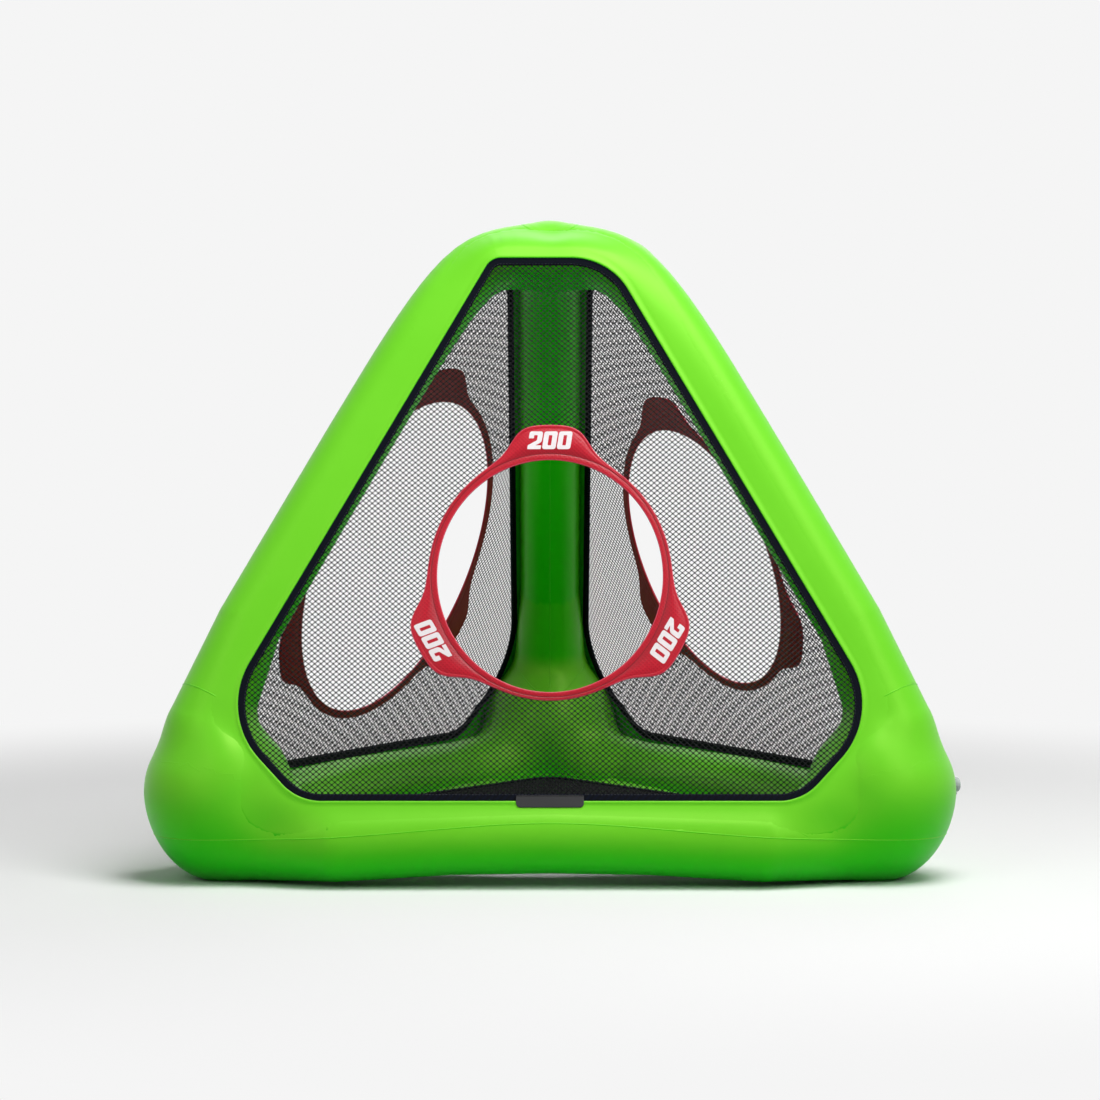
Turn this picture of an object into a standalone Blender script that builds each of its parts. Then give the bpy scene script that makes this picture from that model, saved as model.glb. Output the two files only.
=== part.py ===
"""Inflatable target game for a pool.

A three-legged frame of welded, air-filled PVC tubes carries a net on each of its three
leaning sides and one across its base. Each side net has a round hole to throw at, framed by
a red three-lobed target ring. Metres, +Z up, the front side faces -Y, and the origin is the
middle of the footprint on the ground.
"""
import math

import bmesh
import bpy
import numpy as np
from mathutils import Matrix, Vector

# Frame: where the three side panels lie
SIDES = 3
PANEL_LEAN = math.radians(18.6)
PANEL_FOOT_REACH = 0.3228
PANEL_STANDOFF = 0.0325

# Frame: legs and crown
LEG_RADIUS = 0.0365
NECK_RADIUS = 0.0345
CROWN_RADIUS = 0.0393
CROWN_DROP = 0.161
CROWN_TIGHTNESS_SHARE = 4.8
NECK_REACH = 0.08
LEG_TOP_REACH = 0.20
LEG_FOOT_REACH = 0.4282
LEG_BLEND = 0.0744

# Frame: base ring
SIDE_HEIGHT = 0.0599
SIDE_RADIUS = 0.0414
SIDE_PROUD = 0.0085
HAUNCH_HEIGHT = 0.0582
HAUNCH_RADIUS = 0.0413
HAUNCH_SHARE = 0.70
SHOULDER_HEIGHT = 0.0536
SHOULDER_RADIUS = 0.0445
SHOULDER_SHARE = 0.36
RING_END_HEIGHT = 0.0623
RING_END_RADIUS = 0.0578
CORNER_REACH = 0.4234
CORNER_HEIGHT = 0.1025
CORNER_RADIUS = 0.0825
CORNER_BLEND = 0.030

# Frame: skins and seams
SKIN_STEP = 0.0165
SKIN_KEPT_SHARE = 0.27
SEAM_GAP = 0.0003
SEAM_CORNER_HEIGHT = 0.056
SEAM_SIDE_HEIGHT = 0.078
WELD_REACH = 0.437
WELD_HEIGHT = 0.207
WELD_CUT_HALF_WIDTH = 0.11
WELD_CUT_HALF_DEPTH = 0.12
PATCH_RADIUS = 0.030
PATCH_FORWARD = 0.004
PATCH_THICKNESS = 0.0009
PATCH_LIFT = 0.0014
PATCH_RINGS = 4

# Side panels, on their leaning plane: across, up the slope
PANEL_BOTTOM = 0.1035
PANEL_TOP = 0.731
PANEL_TOP_HALF_WIDTH = 0.0675
PANEL_SIDE_SLOPE_SHARE = 0.5628
PANEL_CHAMFER_HALF_WIDTH = 0.2755
PANEL_CHAMFER_RISE = 0.0985
PANEL_FOOT_FILLET = 0.060
PANEL_KNEE_FILLET = 0.095
PANEL_TOP_LEFT_FILLET = 0.022
PANEL_TOP_RIGHT_FILLET = 0.075
FILLET_STEPS = 5
STRIP_FILLET_STEPS = 7
STRIP_STEP = 0.072

# Base panel
BASE_NET_HEIGHT = 0.055
BASE_CORNER_REACH = 0.3434
BASE_SIDE_REACH = 0.218
BASE_CORNER_FILLET = 0.031
BASE_SIDE_FILLET = 0.30

# Net, binding tape and welded strip
LAYER_GAP = 0.0003
NET_THICKNESS = 0.0010
NET_PITCH = 0.066
NET_STRAND = 0.0040
NET_RIM = 0.0125
TAPE_WIDTH = 0.0110
TAPE_THICKNESS = 0.0008
TAPE_LAP = 0.0020
STRIP_THICKNESS = 0.0010
STRIP_CLEARANCE = 0.0006
STRIP_CORNER_CLEARANCE = 0.0025
STRIP_REACH = 0.060
STRIP_DIP = math.radians(60)
GAP_AREA_LEAST = 0.012 * 0.012

# Target rings, by side: front, right, left
RING_CENTRE_HEIGHT = 0.360
RING_RADII = {"front": 0.1245, "right": 0.149, "left": 0.182}
RING_TALL_SHARE = 1.064
RING_BAND = 0.0150
RING_LOBE = 0.0310
RING_FILM = 0.0008
LOBE_HALF_WIDTH = 0.0420
LOBE_FLANK = 0.0150

# Label tab under each side panel
TAB_HALF_WIDTH = 0.037
TAB_UPPER = 0.008
TAB_HANG = 0.0055
TAB_FILLET = 0.0050
TAB_THICKNESS = 0.0008

# Air valve, on the right-hand corner
VALVE_TURN = math.radians(25)
VALVE_HEIGHT = 0.105
VALVE_SEAT_RADIUS = 0.0170
VALVE_SEAT_DEPTH = 0.0020
VALVE_POCKET_RADIUS = 0.0092
VALVE_POCKET_DEPTH = 0.042
FLANGE_RADIUS = 0.0160
FLANGE_THICKNESS = 0.0012
STEM_RADIUS = 0.0070
STEM_BORE = 0.0050
STEM_OUTER_LENGTH = 0.0115
STEM_INNER_LENGTH = 0.0150
STEM_RIM_RADIUS = 0.0080
STEM_RIM_HEIGHT = 0.0015
PLUG_PIN_RADIUS = 0.0046
PLUG_PIN_LENGTH = 0.0090
PLUG_CAP_RADIUS = 0.0082
PLUG_CAP_HEIGHT = 0.0032
FLAP_RADIUS = 0.0064
FLAP_THICKNESS = 0.0008
RUNNING_GAP = 0.0003
TETHER_RADIUS = 0.0008
TETHER_BULGE = 0.0050
TETHER_STEPS = 8
TURNED_STEPS = 20

# How finely the shapes are worked out
CROWN_STATIONS = 9
FOOT_STATIONS = 5
WALL_ROUNDS = 6
SMOOTHING_ROUNDS = 3
SEAM_STEPS = 72
HOLE_STEPS = 40
REACH_STEPS = 80
DIP_STEPS = 40
MERGE_DISTANCE = 0.00003
CUT_OVERRUN = 0.05

LEAN_TAN = math.tan(PANEL_LEAN)
LEAN_SIN = math.sin(PANEL_LEAN)
LEAN_COS = math.cos(PANEL_LEAN)
SIDE_TURNS = {"front": 0.0, "right": 2 * math.pi / SIDES, "left": -2 * math.pi / SIDES}
LEG_TURNS = {"back": math.pi / 2, "left": math.pi * 7 / 6, "right": -math.pi / 6}
FRONT_REACH = PANEL_FOOT_REACH - PANEL_STANDOFF / LEAN_COS - LEAN_TAN * SIDE_HEIGHT + SIDE_RADIUS
BACK_REACH = CORNER_REACH + CORNER_RADIUS
AXIS_SHIFT = Vector((0, (FRONT_REACH - BACK_REACH) / 2, RING_END_RADIUS - RING_END_HEIGHT))


def clear_scene():
    for item in list(bpy.data.objects):
        bpy.data.objects.remove(item, do_unlink=True)


def collection(name):
    group = bpy.data.collections.new(name)
    bpy.context.scene.collection.children.link(group)
    return group


def material(name, colour, roughness):
    made = bpy.data.materials.new(name)
    made.use_nodes = True
    shader = made.node_tree.nodes["Principled BSDF"]
    shader.inputs["Base Color"].default_value = (*colour, 1)
    shader.inputs["Roughness"].default_value = roughness
    return made


def add(name, mesh, group, finish=None, parent=None):
    item = bpy.data.objects.new(name, mesh)
    group.objects.link(item)
    if finish:
        mesh.materials.clear()
        mesh.materials.append(finish)
    if parent:
        item.parent = parent
    return item


def mesh_from(name, build):
    work = bmesh.new()
    build(work)
    bmesh.ops.recalc_face_normals(work, faces=work.faces)
    mesh = bpy.data.meshes.new(name)
    work.to_mesh(mesh)
    work.free()
    return mesh


def smooth(item, degrees=40):
    item.data.shade_smooth()
    item.data.set_sharp_from_angle(angle=math.radians(degrees))


def cut(item, cutter, operation="DIFFERENCE"):
    change = item.modifiers.new(operation.title(), "BOOLEAN")
    change.operation = operation
    change.object = cutter
    change.solver = "EXACT"


def as_cutter(name, mesh, group, matrix=None):
    item = add(name, mesh, group)
    item.display_type = "WIRE"
    item.hide_render = True
    if matrix is not None:
        item.matrix_world = matrix
    return item


# The frame's shape: round tubes whose walls run into each other
def centre_reach(height):
    """Distance from the upright axis to the middle of a side of the tubes' pyramid."""
    return PANEL_FOOT_REACH - PANEL_STANDOFF / LEAN_COS - LEAN_TAN * height


def leg_line():
    """Reach, height and radius along one leg's centre line, from the crown to the foot."""
    crown = np.linspace(0, LEG_TOP_REACH, CROWN_STATIONS)
    foot = np.linspace(LEG_TOP_REACH, LEG_FOOT_REACH, FOOT_STATIONS)
    reach = np.concatenate([crown, foot[1:]])
    sharp_top = centre_reach(0) / LEAN_TAN
    power = CROWN_TIGHTNESS_SHARE
    drop = ((reach / (2 * LEAN_TAN)) ** power + CROWN_DROP ** power) ** (1 / power)
    radius = np.interp(reach, [0, NECK_REACH, LEG_TOP_REACH], [CROWN_RADIUS, NECK_RADIUS, LEG_RADIUS])
    return reach, sharp_top - drop, radius


def ring_line():
    """Points and radii of half a base tube: from a corner along a side to the side's middle.

    Each point's wall stands proud of the side panel's plane by the same amount.
    """
    across = CORNER_REACH * math.sin(math.pi / SIDES)
    points = [np.array([CORNER_REACH, 0, RING_END_HEIGHT])]
    radii = [RING_END_RADIUS, SHOULDER_RADIUS, HAUNCH_RADIUS, SIDE_RADIUS]
    heights = (SHOULDER_HEIGHT, HAUNCH_HEIGHT, SIDE_HEIGHT)
    shares = (1 - SHOULDER_SHARE, 1 - HAUNCH_SHARE, 0)
    for height, share, radius in zip(heights, shares, radii[1:]):
        outward = PANEL_FOOT_REACH - LEAN_TAN * height - (radius - SIDE_PROUD) / LEAN_COS
        sideways = across * share
        turn = math.pi / SIDES
        points.append(np.array([outward * math.cos(turn) + sideways * math.sin(turn),
                                outward * math.sin(turn) - sideways * math.cos(turn), height]))
    return points, radii


def blend(first, second, width):
    share = np.clip(0.5 + 0.5 * (second - first) / width, 0, 1)
    return second * (1 - share) + first * share - width * share * (1 - share)


def tapered_tube(points, start, end, start_radius, end_radius):
    along = end - start
    share = np.clip((points - start) @ along / (along @ along), 0, 1)
    nearest = start + share[:, None] * along
    return np.linalg.norm(points - nearest, axis=1) - (start_radius + (end_radius - start_radius) * share)


def frame_distance(points):
    """Distance from points to the frame's outer wall, negative inside it.

    The frame repeats three times round its axis, so points are folded onto one corner.
    """
    turn = np.arctan2(points[:, 1], points[:, 0])
    reach = np.hypot(points[:, 0], points[:, 1])
    sector = 2 * math.pi / SIDES
    folded = np.mod(turn - LEG_TURNS["back"] + sector / 2, sector) - sector / 2
    spot = np.stack([reach * np.cos(folded), np.abs(reach * np.sin(folded)), points[:, 2]], axis=1)

    leg_reach, leg_height, leg_radius = leg_line()
    stations = np.stack([leg_reach, np.zeros_like(leg_reach), leg_height], axis=1)
    leg = np.min([tapered_tube(spot, *stations[i:i + 2], *leg_radius[i:i + 2])
                  for i in range(len(stations) - 1)], axis=0)
    ring_points, ring_radii = ring_line()
    ring = np.min([tapered_tube(spot, *ring_points[i:i + 2], *ring_radii[i:i + 2])
                   for i in range(len(ring_points) - 1)], axis=0)
    corner = np.linalg.norm(spot - np.array([CORNER_REACH, 0, CORNER_HEIGHT]), axis=1) - CORNER_RADIUS
    return blend(blend(ring, corner, CORNER_BLEND), leg, LEG_BLEND)


def wall_normal(points):
    step = SEAM_GAP
    slope = np.stack([frame_distance(points + step * axis) - frame_distance(points - step * axis)
                      for axis in np.eye(3)], axis=1)
    return slope / np.linalg.norm(slope, axis=1, keepdims=True)


def onto_wall(points):
    for _ in range(WALL_ROUNDS):
        points = points - frame_distance(points)[:, None] * wall_normal(points)
    return points


def rough_tube(work, stations, radii, turn, flip):
    """A tube through the stations, turned round the axis, added to the rough frame."""
    curve = bpy.data.curves.new("rough_tube", "CURVE")
    curve.dimensions = "3D"
    curve.bevel_depth = LEG_RADIUS
    curve.bevel_resolution = 4
    curve.use_fill_caps = True
    line = curve.splines.new("POLY")
    line.points.add(len(stations) - 1)
    for point, station, radius in zip(line.points, stations, radii):
        point.co = (station[0], -station[1] if flip else station[1], station[2], 1)
        point.radius = radius / LEG_RADIUS
    item = bpy.data.objects.new("rough_tube", curve)
    mesh = bpy.data.meshes.new_from_object(item)
    mesh.transform(Matrix.Rotation(turn, 4, "Z"))
    work.from_mesh(mesh)
    bpy.data.objects.remove(item)
    bpy.data.meshes.remove(mesh)


def frame_mesh():
    """The whole air-filled frame as one wall: rough tubes, remeshed evenly, drawn onto the shape."""
    work = bmesh.new()
    leg_reach, leg_height, leg_radius = leg_line()
    stations = np.stack([leg_reach, np.zeros_like(leg_reach), leg_height], axis=1)
    stations = np.vstack([stations, (CORNER_REACH, 0, CORNER_HEIGHT)])
    ring_points, ring_radii = ring_line()
    for turn in LEG_TURNS.values():
        rough_tube(work, stations, [*leg_radius, RING_END_RADIUS], turn, False)
        for flip in (False, True):
            rough_tube(work, ring_points, ring_radii, turn, flip)
        place = Matrix.Rotation(turn, 4, "Z") @ Matrix.Translation((CORNER_REACH, 0, CORNER_HEIGHT))
        bmesh.ops.create_uvsphere(work, u_segments=24, v_segments=16, radius=CORNER_RADIUS, matrix=place)
    rough = bpy.data.meshes.new("rough_frame")
    work.to_mesh(rough)
    work.free()
    even = changed(rough, "REMESH", mode="VOXEL", voxel_size=SKIN_STEP)
    for _ in range(SMOOTHING_ROUNDS):
        draw_onto_wall(even)
        even = changed(even, "SMOOTH", factor=0.5)
    draw_onto_wall(even)
    even = changed(even, "DECIMATE", ratio=SKIN_KEPT_SHARE)
    draw_onto_wall(even)
    return even


def changed(mesh, kind, **values):
    """The mesh as one modifier leaves it."""
    item = bpy.data.objects.new("changed", mesh)
    bpy.context.scene.collection.objects.link(item)
    change = item.modifiers.new("Change", kind)
    for name, value in values.items():
        setattr(change, name, value)
    result = bpy.data.meshes.new_from_object(item.evaluated_get(bpy.context.evaluated_depsgraph_get()))
    bpy.data.objects.remove(item)
    return result


def draw_onto_wall(mesh):
    spots = onto_wall(np.array([vert.co for vert in mesh.vertices]))
    for vert, spot in zip(mesh.vertices, spots):
        vert.co = spot


def prism(outline, low, high):
    """An upright block on a flat outline."""
    def build(work):
        face = work.faces.new([work.verts.new((x, y, low)) for x, y in outline])
        top = bmesh.ops.extrude_face_region(work, geom=[face])["geom"]
        verts = [part for part in top if isinstance(part, bmesh.types.BMVert)]
        bmesh.ops.translate(work, verts=verts, vec=(0, 0, high - low))
    return mesh_from("prism", build)


def loft_ring(rows):
    """A closed ring lofted through equal sections, the last one meeting the first.

    The second half of a section runs back over the first. Both are split along the same
    diagonal, so that a thin section keeps its thickness where it twists.
    """
    def build(work):
        verts = [[work.verts.new(place) for place in row] for row in rows]
        count = len(verts[0])
        for i, row in enumerate(verts):
            following = verts[(i + 1) % len(verts)]
            for j in range(count):
                k = (j + 1) % count
                face = (row[j], row[k], following[k], following[j])
                work.faces.new(face if j < count // 2 else (*face[1:], face[0]))
        bmesh.ops.triangulate(work, faces=work.faces, quad_method="FIXED")
    return mesh_from("ring", build)


def seam_height(turn):
    """The ground seam rides up at the middle of each side and dips at the corners."""
    middle = (SEAM_SIDE_HEIGHT + SEAM_CORNER_HEIGHT) / 2
    swing = (SEAM_SIDE_HEIGHT - SEAM_CORNER_HEIGHT) / 2
    return middle - swing * math.cos(SIDES * (turn - LEG_TURNS["back"]))


def below_seam(offset):
    """A ring-shaped cutter that reaches from under the frame to its ground seam."""
    inner = centre_reach(SIDE_HEIGHT) - SIDE_RADIUS - CUT_OVERRUN
    outer = BACK_REACH + CUT_OVERRUN
    rows = []
    for step in range(SEAM_STEPS):
        turn = 2 * math.pi * step / SEAM_STEPS
        ray = np.array([math.cos(turn), math.sin(turn)])
        top = seam_height(turn) + offset
        rows.append([(*(ray * reach), height) for reach, height in
                     ((inner, -CUT_OVERRUN), (outer, -CUT_OVERRUN), (outer, top), (inner, top))])
    return loft_ring(rows)


def weld_matrix(turn, offset):
    """Frame of the weld round a leg's foot: +Z up along the leg."""
    lean = math.atan2(2 * LEAN_TAN, 1)
    place = Matrix.Translation(AXIS_SHIFT) @ Matrix.Rotation(turn, 4, "Z")
    place = place @ Matrix.Translation((WELD_REACH, 0, WELD_HEIGHT)) @ Matrix.Rotation(-lean, 4, "Y")
    return place @ Matrix.Translation((0, 0, offset))


def add_frame(parts, cutters, skin):
    """Base skins, legs and crown patch."""
    wall = frame_mesh()
    wall.transform(Matrix.Translation(AXIS_SHIFT))
    add_patch(wall, parts, cutters, skin)
    width, depth = WELD_CUT_HALF_WIDTH, WELD_CUT_HALF_DEPTH
    along = BACK_REACH + CUT_OVERRUN
    block = prism([(-depth, -width), (depth, -width), (depth, width), (-depth, width)], 0, 2 * along)
    wedge_side = along * math.tan(math.pi / SIDES)
    wedge = prism([(0, 0), (along, -wedge_side), (along, wedge_side)], 0, 2 * along)

    upper = add("base_upper_skin", wall.copy(), parts, skin)
    lower = add("base_lower_skin", wall.copy(), parts, skin)
    for side, turn in LEG_TURNS.items():
        leg = add(f"leg_{side}", wall.copy(), parts, skin)
        above = as_cutter(f"above_weld_{side}", block, cutters, weld_matrix(turn, SEAM_GAP))
        mitre = Matrix.Translation(AXIS_SHIFT) @ Matrix.Rotation(turn, 4, "Z")
        mitre = mitre @ Matrix.Translation((SEAM_GAP / 2 / math.sin(math.pi / SIDES), 0, 0))
        cut(leg, as_cutter(f"mitre_{side}", wedge, cutters, mitre), "INTERSECT")
        cut(leg, above, "INTERSECT")
        smooth(leg)
        cut(upper, as_cutter(f"weld_{side}", block, cutters, weld_matrix(turn, 0)))
    shift = Matrix.Translation(AXIS_SHIFT)
    cut(upper, as_cutter("under_upper", below_seam(SEAM_GAP / 2), cutters, shift))
    cut(lower, as_cutter("under_lower", below_seam(-SEAM_GAP / 2), cutters, shift), "INTERSECT")
    ground = prism([(-1, -1), (1, -1), (1, 1), (-1, 1)], -1, 0)
    ground.transform(Matrix.Scale(2 * BACK_REACH, 4))
    cut(lower, as_cutter("ground", ground, cutters))
    smooth(upper)
    smooth(lower)
    return upper


def add_patch(wall, parts, cutters, skin):
    """The round patch welded over the meeting point of the three legs, laid on their wall."""
    def build(work):
        place = Matrix.Translation((0, -PATCH_FORWARD, leg_line()[1][0] + 2 * CROWN_RADIUS))
        bmesh.ops.create_circle(work, cap_ends=True, segments=TURNED_STEPS, radius=PATCH_RADIUS,
                                matrix=place)
        for _ in range(PATCH_RINGS - 1):
            middle = max(work.faces, key=lambda face: len(face.verts))
            bmesh.ops.inset_region(work, faces=[middle], use_boundary=True,
                                   thickness=PATCH_RADIUS / PATCH_RINGS)
        middle = max(work.faces, key=lambda face: len(face.verts))
        bmesh.ops.poke(work, faces=[middle])
    item = add("apex_patch", mesh_from("apex_patch", build), parts, skin)
    if item.data.polygons[0].normal.z < 0:
        item.data.flip_normals()
    item.data.transform(Matrix.Translation(AXIS_SHIFT))
    laid = item.modifiers.new("Shrinkwrap", "SHRINKWRAP")
    laid.target = as_cutter("patch_bed", wall.copy(), cutters)
    laid.wrap_method = "PROJECT"
    laid.use_project_z = True
    laid.use_negative_direction = True
    laid.use_positive_direction = False
    lift = item.modifiers.new("Displace", "DISPLACE")
    lift.direction = "Z"
    lift.mid_level = 0
    lift.strength = PATCH_LIFT
    shell = item.modifiers.new("Solidify", "SOLIDIFY")
    shell.thickness = PATCH_THICKNESS
    shell.offset = 1
    smooth(item)


# Flat panels: outlines made of round corners, as centre, radius and direction of each point
def round_corners(corners, fillets, steps, longest_run=math.inf):
    """Outline points, anticlockwise, each as a fillet's centre, its radius and a direction.

    A straight run between two fillets gets points of its own where it is longer than longest_run.
    """
    arcs = []
    for i, (corner, fillet) in enumerate(zip(corners, fillets)):
        here = Vector(corner)
        before = (here - Vector(corners[i - 1])).normalized()
        after = (Vector(corners[(i + 1) % len(corners)]) - here).normalized()
        start = math.atan2(-before.x, before.y)
        turn = math.atan2(before.cross(after), before.dot(after))
        middle = start + turn / 2
        centre = here - fillet / math.cos(turn / 2) * Vector((math.cos(middle), math.sin(middle)))
        arcs.append((centre, fillet, start, turn))
    points = []
    for i, (centre, fillet, start, turn) in enumerate(arcs):
        points.extend((centre, fillet, start + turn * step / (steps - 1)) for step in range(steps))
        following, next_fillet = arcs[(i + 1) % len(arcs)][:2]
        runs = math.ceil((following - centre).length / longest_run)
        for share in (run / runs for run in range(1, runs)):
            spot = centre.lerp(following, share)
            points.append((spot, fillet + (next_fillet - fillet) * share, start + turn))
    return points


def grown(outline, offset):
    return [centre + (radius + offset) * Vector((math.cos(turn), math.sin(turn)))
            for centre, radius, turn in outline]


def side_outline(steps=FILLET_STEPS, longest_run=math.inf):
    """The outer edge of a side panel's binding tape."""
    slope = PANEL_SIDE_SLOPE_SHARE
    edge = PANEL_TOP_HALF_WIDTH
    foot = PANEL_CHAMFER_HALF_WIDTH
    rise = PANEL_CHAMFER_RISE
    knee = edge + (PANEL_TOP - PANEL_BOTTOM - rise) * slope
    corners = [(-foot, PANEL_BOTTOM), (foot, PANEL_BOTTOM), (knee, PANEL_BOTTOM + rise),
               (edge, PANEL_TOP), (-edge, PANEL_TOP), (-knee, PANEL_BOTTOM + rise)]
    fillets = [PANEL_FOOT_FILLET, PANEL_FOOT_FILLET, PANEL_KNEE_FILLET,
               PANEL_TOP_RIGHT_FILLET, PANEL_TOP_LEFT_FILLET, PANEL_KNEE_FILLET]
    return round_corners(corners, fillets, steps, longest_run)


def base_outline(steps=FILLET_STEPS, longest_run=math.inf):
    """The outer edge of the base panel's tape, seen from below: three corners, three bowed sides."""
    corners = []
    for side in range(2 * SIDES):
        reach = BASE_SIDE_REACH if side % 2 else BASE_CORNER_REACH
        turn = side * math.pi / SIDES - math.pi / 2
        corners.append((reach * math.cos(turn), reach * math.sin(turn)))
    fillets = [BASE_CORNER_FILLET, BASE_SIDE_FILLET] * SIDES
    return round_corners(corners, fillets, steps, longest_run)


def side_matrix(turn):
    """Frame of a side panel: X across, Y up the slope, Z outwards, without the axis shift."""
    foot = Matrix.Translation((0, -PANEL_FOOT_REACH, 0))
    return Matrix.Rotation(turn, 4, "Z") @ foot @ Matrix.Rotation(math.pi / 2 - PANEL_LEAN, 4, "X")


def base_matrix():
    return Matrix.Translation((0, 0, BASE_NET_HEIGHT)) @ Matrix.Rotation(math.pi, 4, "X")


def clip(shape, point, inward):
    """The part of a convex shape on the inner side of a straight line."""
    kept = []
    for i, here in enumerate(shape):
        following = shape[(i + 1) % len(shape)]
        a = (here - point).dot(inward)
        b = (following - point).dot(inward)
        if a >= 0:
            kept.append(here)
        if a * b < 0:
            kept.append(here + (following - here) * (a / (a - b)))
    return kept


def area(shape):
    return sum(shape[i - 1].cross(shape[i]) for i in range(len(shape))) / 2


def diamonds(outline):
    """Diamond-shaped gaps of the knitted net, in slanted rows over the whole outline."""
    half = NET_PITCH / math.sqrt(2)
    inner = half - NET_STRAND / math.sqrt(2)
    spots = grown(outline, 0)
    low = Vector((min(spot.x for spot in spots), min(spot.y for spot in spots)))
    high = Vector((max(spot.x for spot in spots), max(spot.y for spot in spots)))
    rows = math.ceil((high.y - low.y) / half)
    columns = math.ceil((high.x - low.x) / (2 * half)) + 1
    for row in range(rows + 1):
        for column in range(-columns // 2, columns // 2 + 1):
            middle = Vector(((2 * column + row % 2) * half, low.y + row * half))
            yield [middle + inner * Vector(way) for way in ((1, 0), (0, 1), (-1, 0), (0, -1))]


def net_gaps(outline, hole):
    """Gaps clipped to the panel's rim and to the rim round the target hole."""
    rim = grown(outline, -NET_RIM)
    for gap in diamonds(outline):
        for i, start in enumerate(rim):
            way = rim[(i + 1) % len(rim)] - start
            if way.length > 0 and gap:
                gap = clip(gap, start, Vector((-way.y, way.x)))
        if hole and gap:
            radius, centre = hole
            middle = sum(gap, Vector((0, 0))) / len(gap)
            turn = ring_turn(middle - centre)
            away = Vector((math.cos(turn) * RING_TALL_SHARE, math.sin(turn))).normalized()
            edge = centre + hole_point(radius, turn) + away * RING_BAND
            gap = clip(gap, edge, away)
        if len(gap) > 2 and area(gap) > GAP_AREA_LEAST:
            yield gap


def flat_sheet(name, shapes, thickness):
    """A flat sheet with holes: a filled 2D curve with thickness, made into a closed mesh."""
    curve = bpy.data.curves.new(name, "CURVE")
    curve.dimensions = "2D"
    curve.fill_mode = "BOTH"
    curve.extrude = thickness / 2
    for shape in shapes:
        line = curve.splines.new("POLY")
        line.points.add(len(shape) - 1)
        for point, spot in zip(line.points, shape):
            point.co = (spot[0], spot[1], 0, 1)
        line.use_cyclic_u = True
    item = bpy.data.objects.new(name, curve)
    bpy.context.scene.collection.objects.link(item)
    mesh = bpy.data.meshes.new_from_object(item.evaluated_get(bpy.context.evaluated_depsgraph_get()))
    bpy.data.objects.remove(item)

    def build(work):
        work.from_mesh(mesh)
        bmesh.ops.remove_doubles(work, verts=work.verts, dist=MERGE_DISTANCE)
    return mesh_from(name, build)


def ring_turn(way):
    return math.atan2(way.y / RING_TALL_SHARE, way.x)


def hole_point(radius, turn):
    return Vector((radius * math.cos(turn), radius * RING_TALL_SHARE * math.sin(turn)))


def net_mesh(outline, hole):
    shapes = [grown(outline, -TAPE_THICKNESS - LAYER_GAP)]
    if hole:
        radius, centre = hole
        turns = (2 * math.pi * step / HOLE_STEPS for step in range(HOLE_STEPS))
        shapes.append([centre + hole_point(radius, turn) for turn in turns])
    shapes.extend(net_gaps(outline, hole))
    return flat_sheet("net", shapes, NET_THICKNESS)


def tape_mesh(outline):
    """Folded binding tape: a channel round the net's edge, open inwards."""
    inside = NET_THICKNESS / 2 + LAYER_GAP
    outside = inside + TAPE_THICKNESS
    section = [(-TAPE_WIDTH, -outside), (0, -outside), (0, outside), (-TAPE_WIDTH, outside),
               (-TAPE_WIDTH, inside), (-TAPE_THICKNESS, inside), (-TAPE_THICKNESS, -inside),
               (-TAPE_WIDTH, -inside)]
    rings = [grown(outline, offset) for offset, _ in section]
    rows = [[(*ring[i], height) for ring, (_, height) in zip(rings, section)] for i in range(len(outline))]
    return loft_ring(rows)


def strip_mesh(outline, matrix):
    """The PVC strip between the tape and the tubes: its outer edge follows the tubes' wall.

    It lies close along the straight runs, and keeps clear of the swollen corners.
    """
    low = NET_THICKNESS / 2 + TAPE_THICKNESS + 2 * LAYER_GAP
    high = low + STRIP_THICKNESS
    inner = grown(outline, -TAPE_LAP)
    rows = []
    for i, (start, lip) in enumerate(zip(inner, grown(outline, LAYER_GAP))):
        turn = outline[i][2]
        straight = outline[i - 1][2] == turn == outline[(i + 1) % len(outline)][2]
        clearance = STRIP_CLEARANCE if straight else STRIP_CORNER_CLEARANCE
        way = Vector((math.cos(turn), math.sin(turn), 0))
        spots = [Vector((*lip, level)) for level in (low, high)]
        ends = strip_ends(matrix, spots, way, clearance)
        rows.append([(*start, low), spots[0], ends[0], ends[1], spots[1], (*start, high)])
    return loft_ring(rows)


def strip_ends(matrix, spots, way, clearance):
    """Where the strip's two faces meet the tubes, dipping behind the panel no more than needed."""
    reaches = np.linspace(0, STRIP_REACH, REACH_STEPS)
    for dip in np.linspace(0, STRIP_DIP, DIP_STEPS):
        along = way * math.cos(dip) - Vector((0, 0, math.sin(dip)))
        ends = []
        for spot in spots:
            path = [matrix @ (spot + along * reach) for reach in reaches]
            gaps = frame_distance(np.array(path)) - clearance
            met = np.flatnonzero(gaps < 0)
            if len(met) and met[0]:
                i = met[0]
                share = gaps[i - 1] / (gaps[i - 1] - gaps[i])
                ends.append(spot + along * (reaches[i - 1] + share * (reaches[i] - reaches[i - 1])))
        if len(ends) == len(spots):
            return ends
    return spots


def lobe(turn, radius):
    """How far the ring stands out beyond its band: a flat-topped lobe at 12, 4 and 8 o'clock."""
    sector = 2 * math.pi / SIDES
    off = abs((turn - math.pi / 2 + sector / 2) % sector - sector / 2) * (radius + RING_BAND + RING_LOBE)
    share = min(max((LOBE_HALF_WIDTH + LOBE_FLANK / 2 - off) / LOBE_FLANK, 0), 1)
    return RING_LOBE * share * share * (3 - 2 * share)


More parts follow.
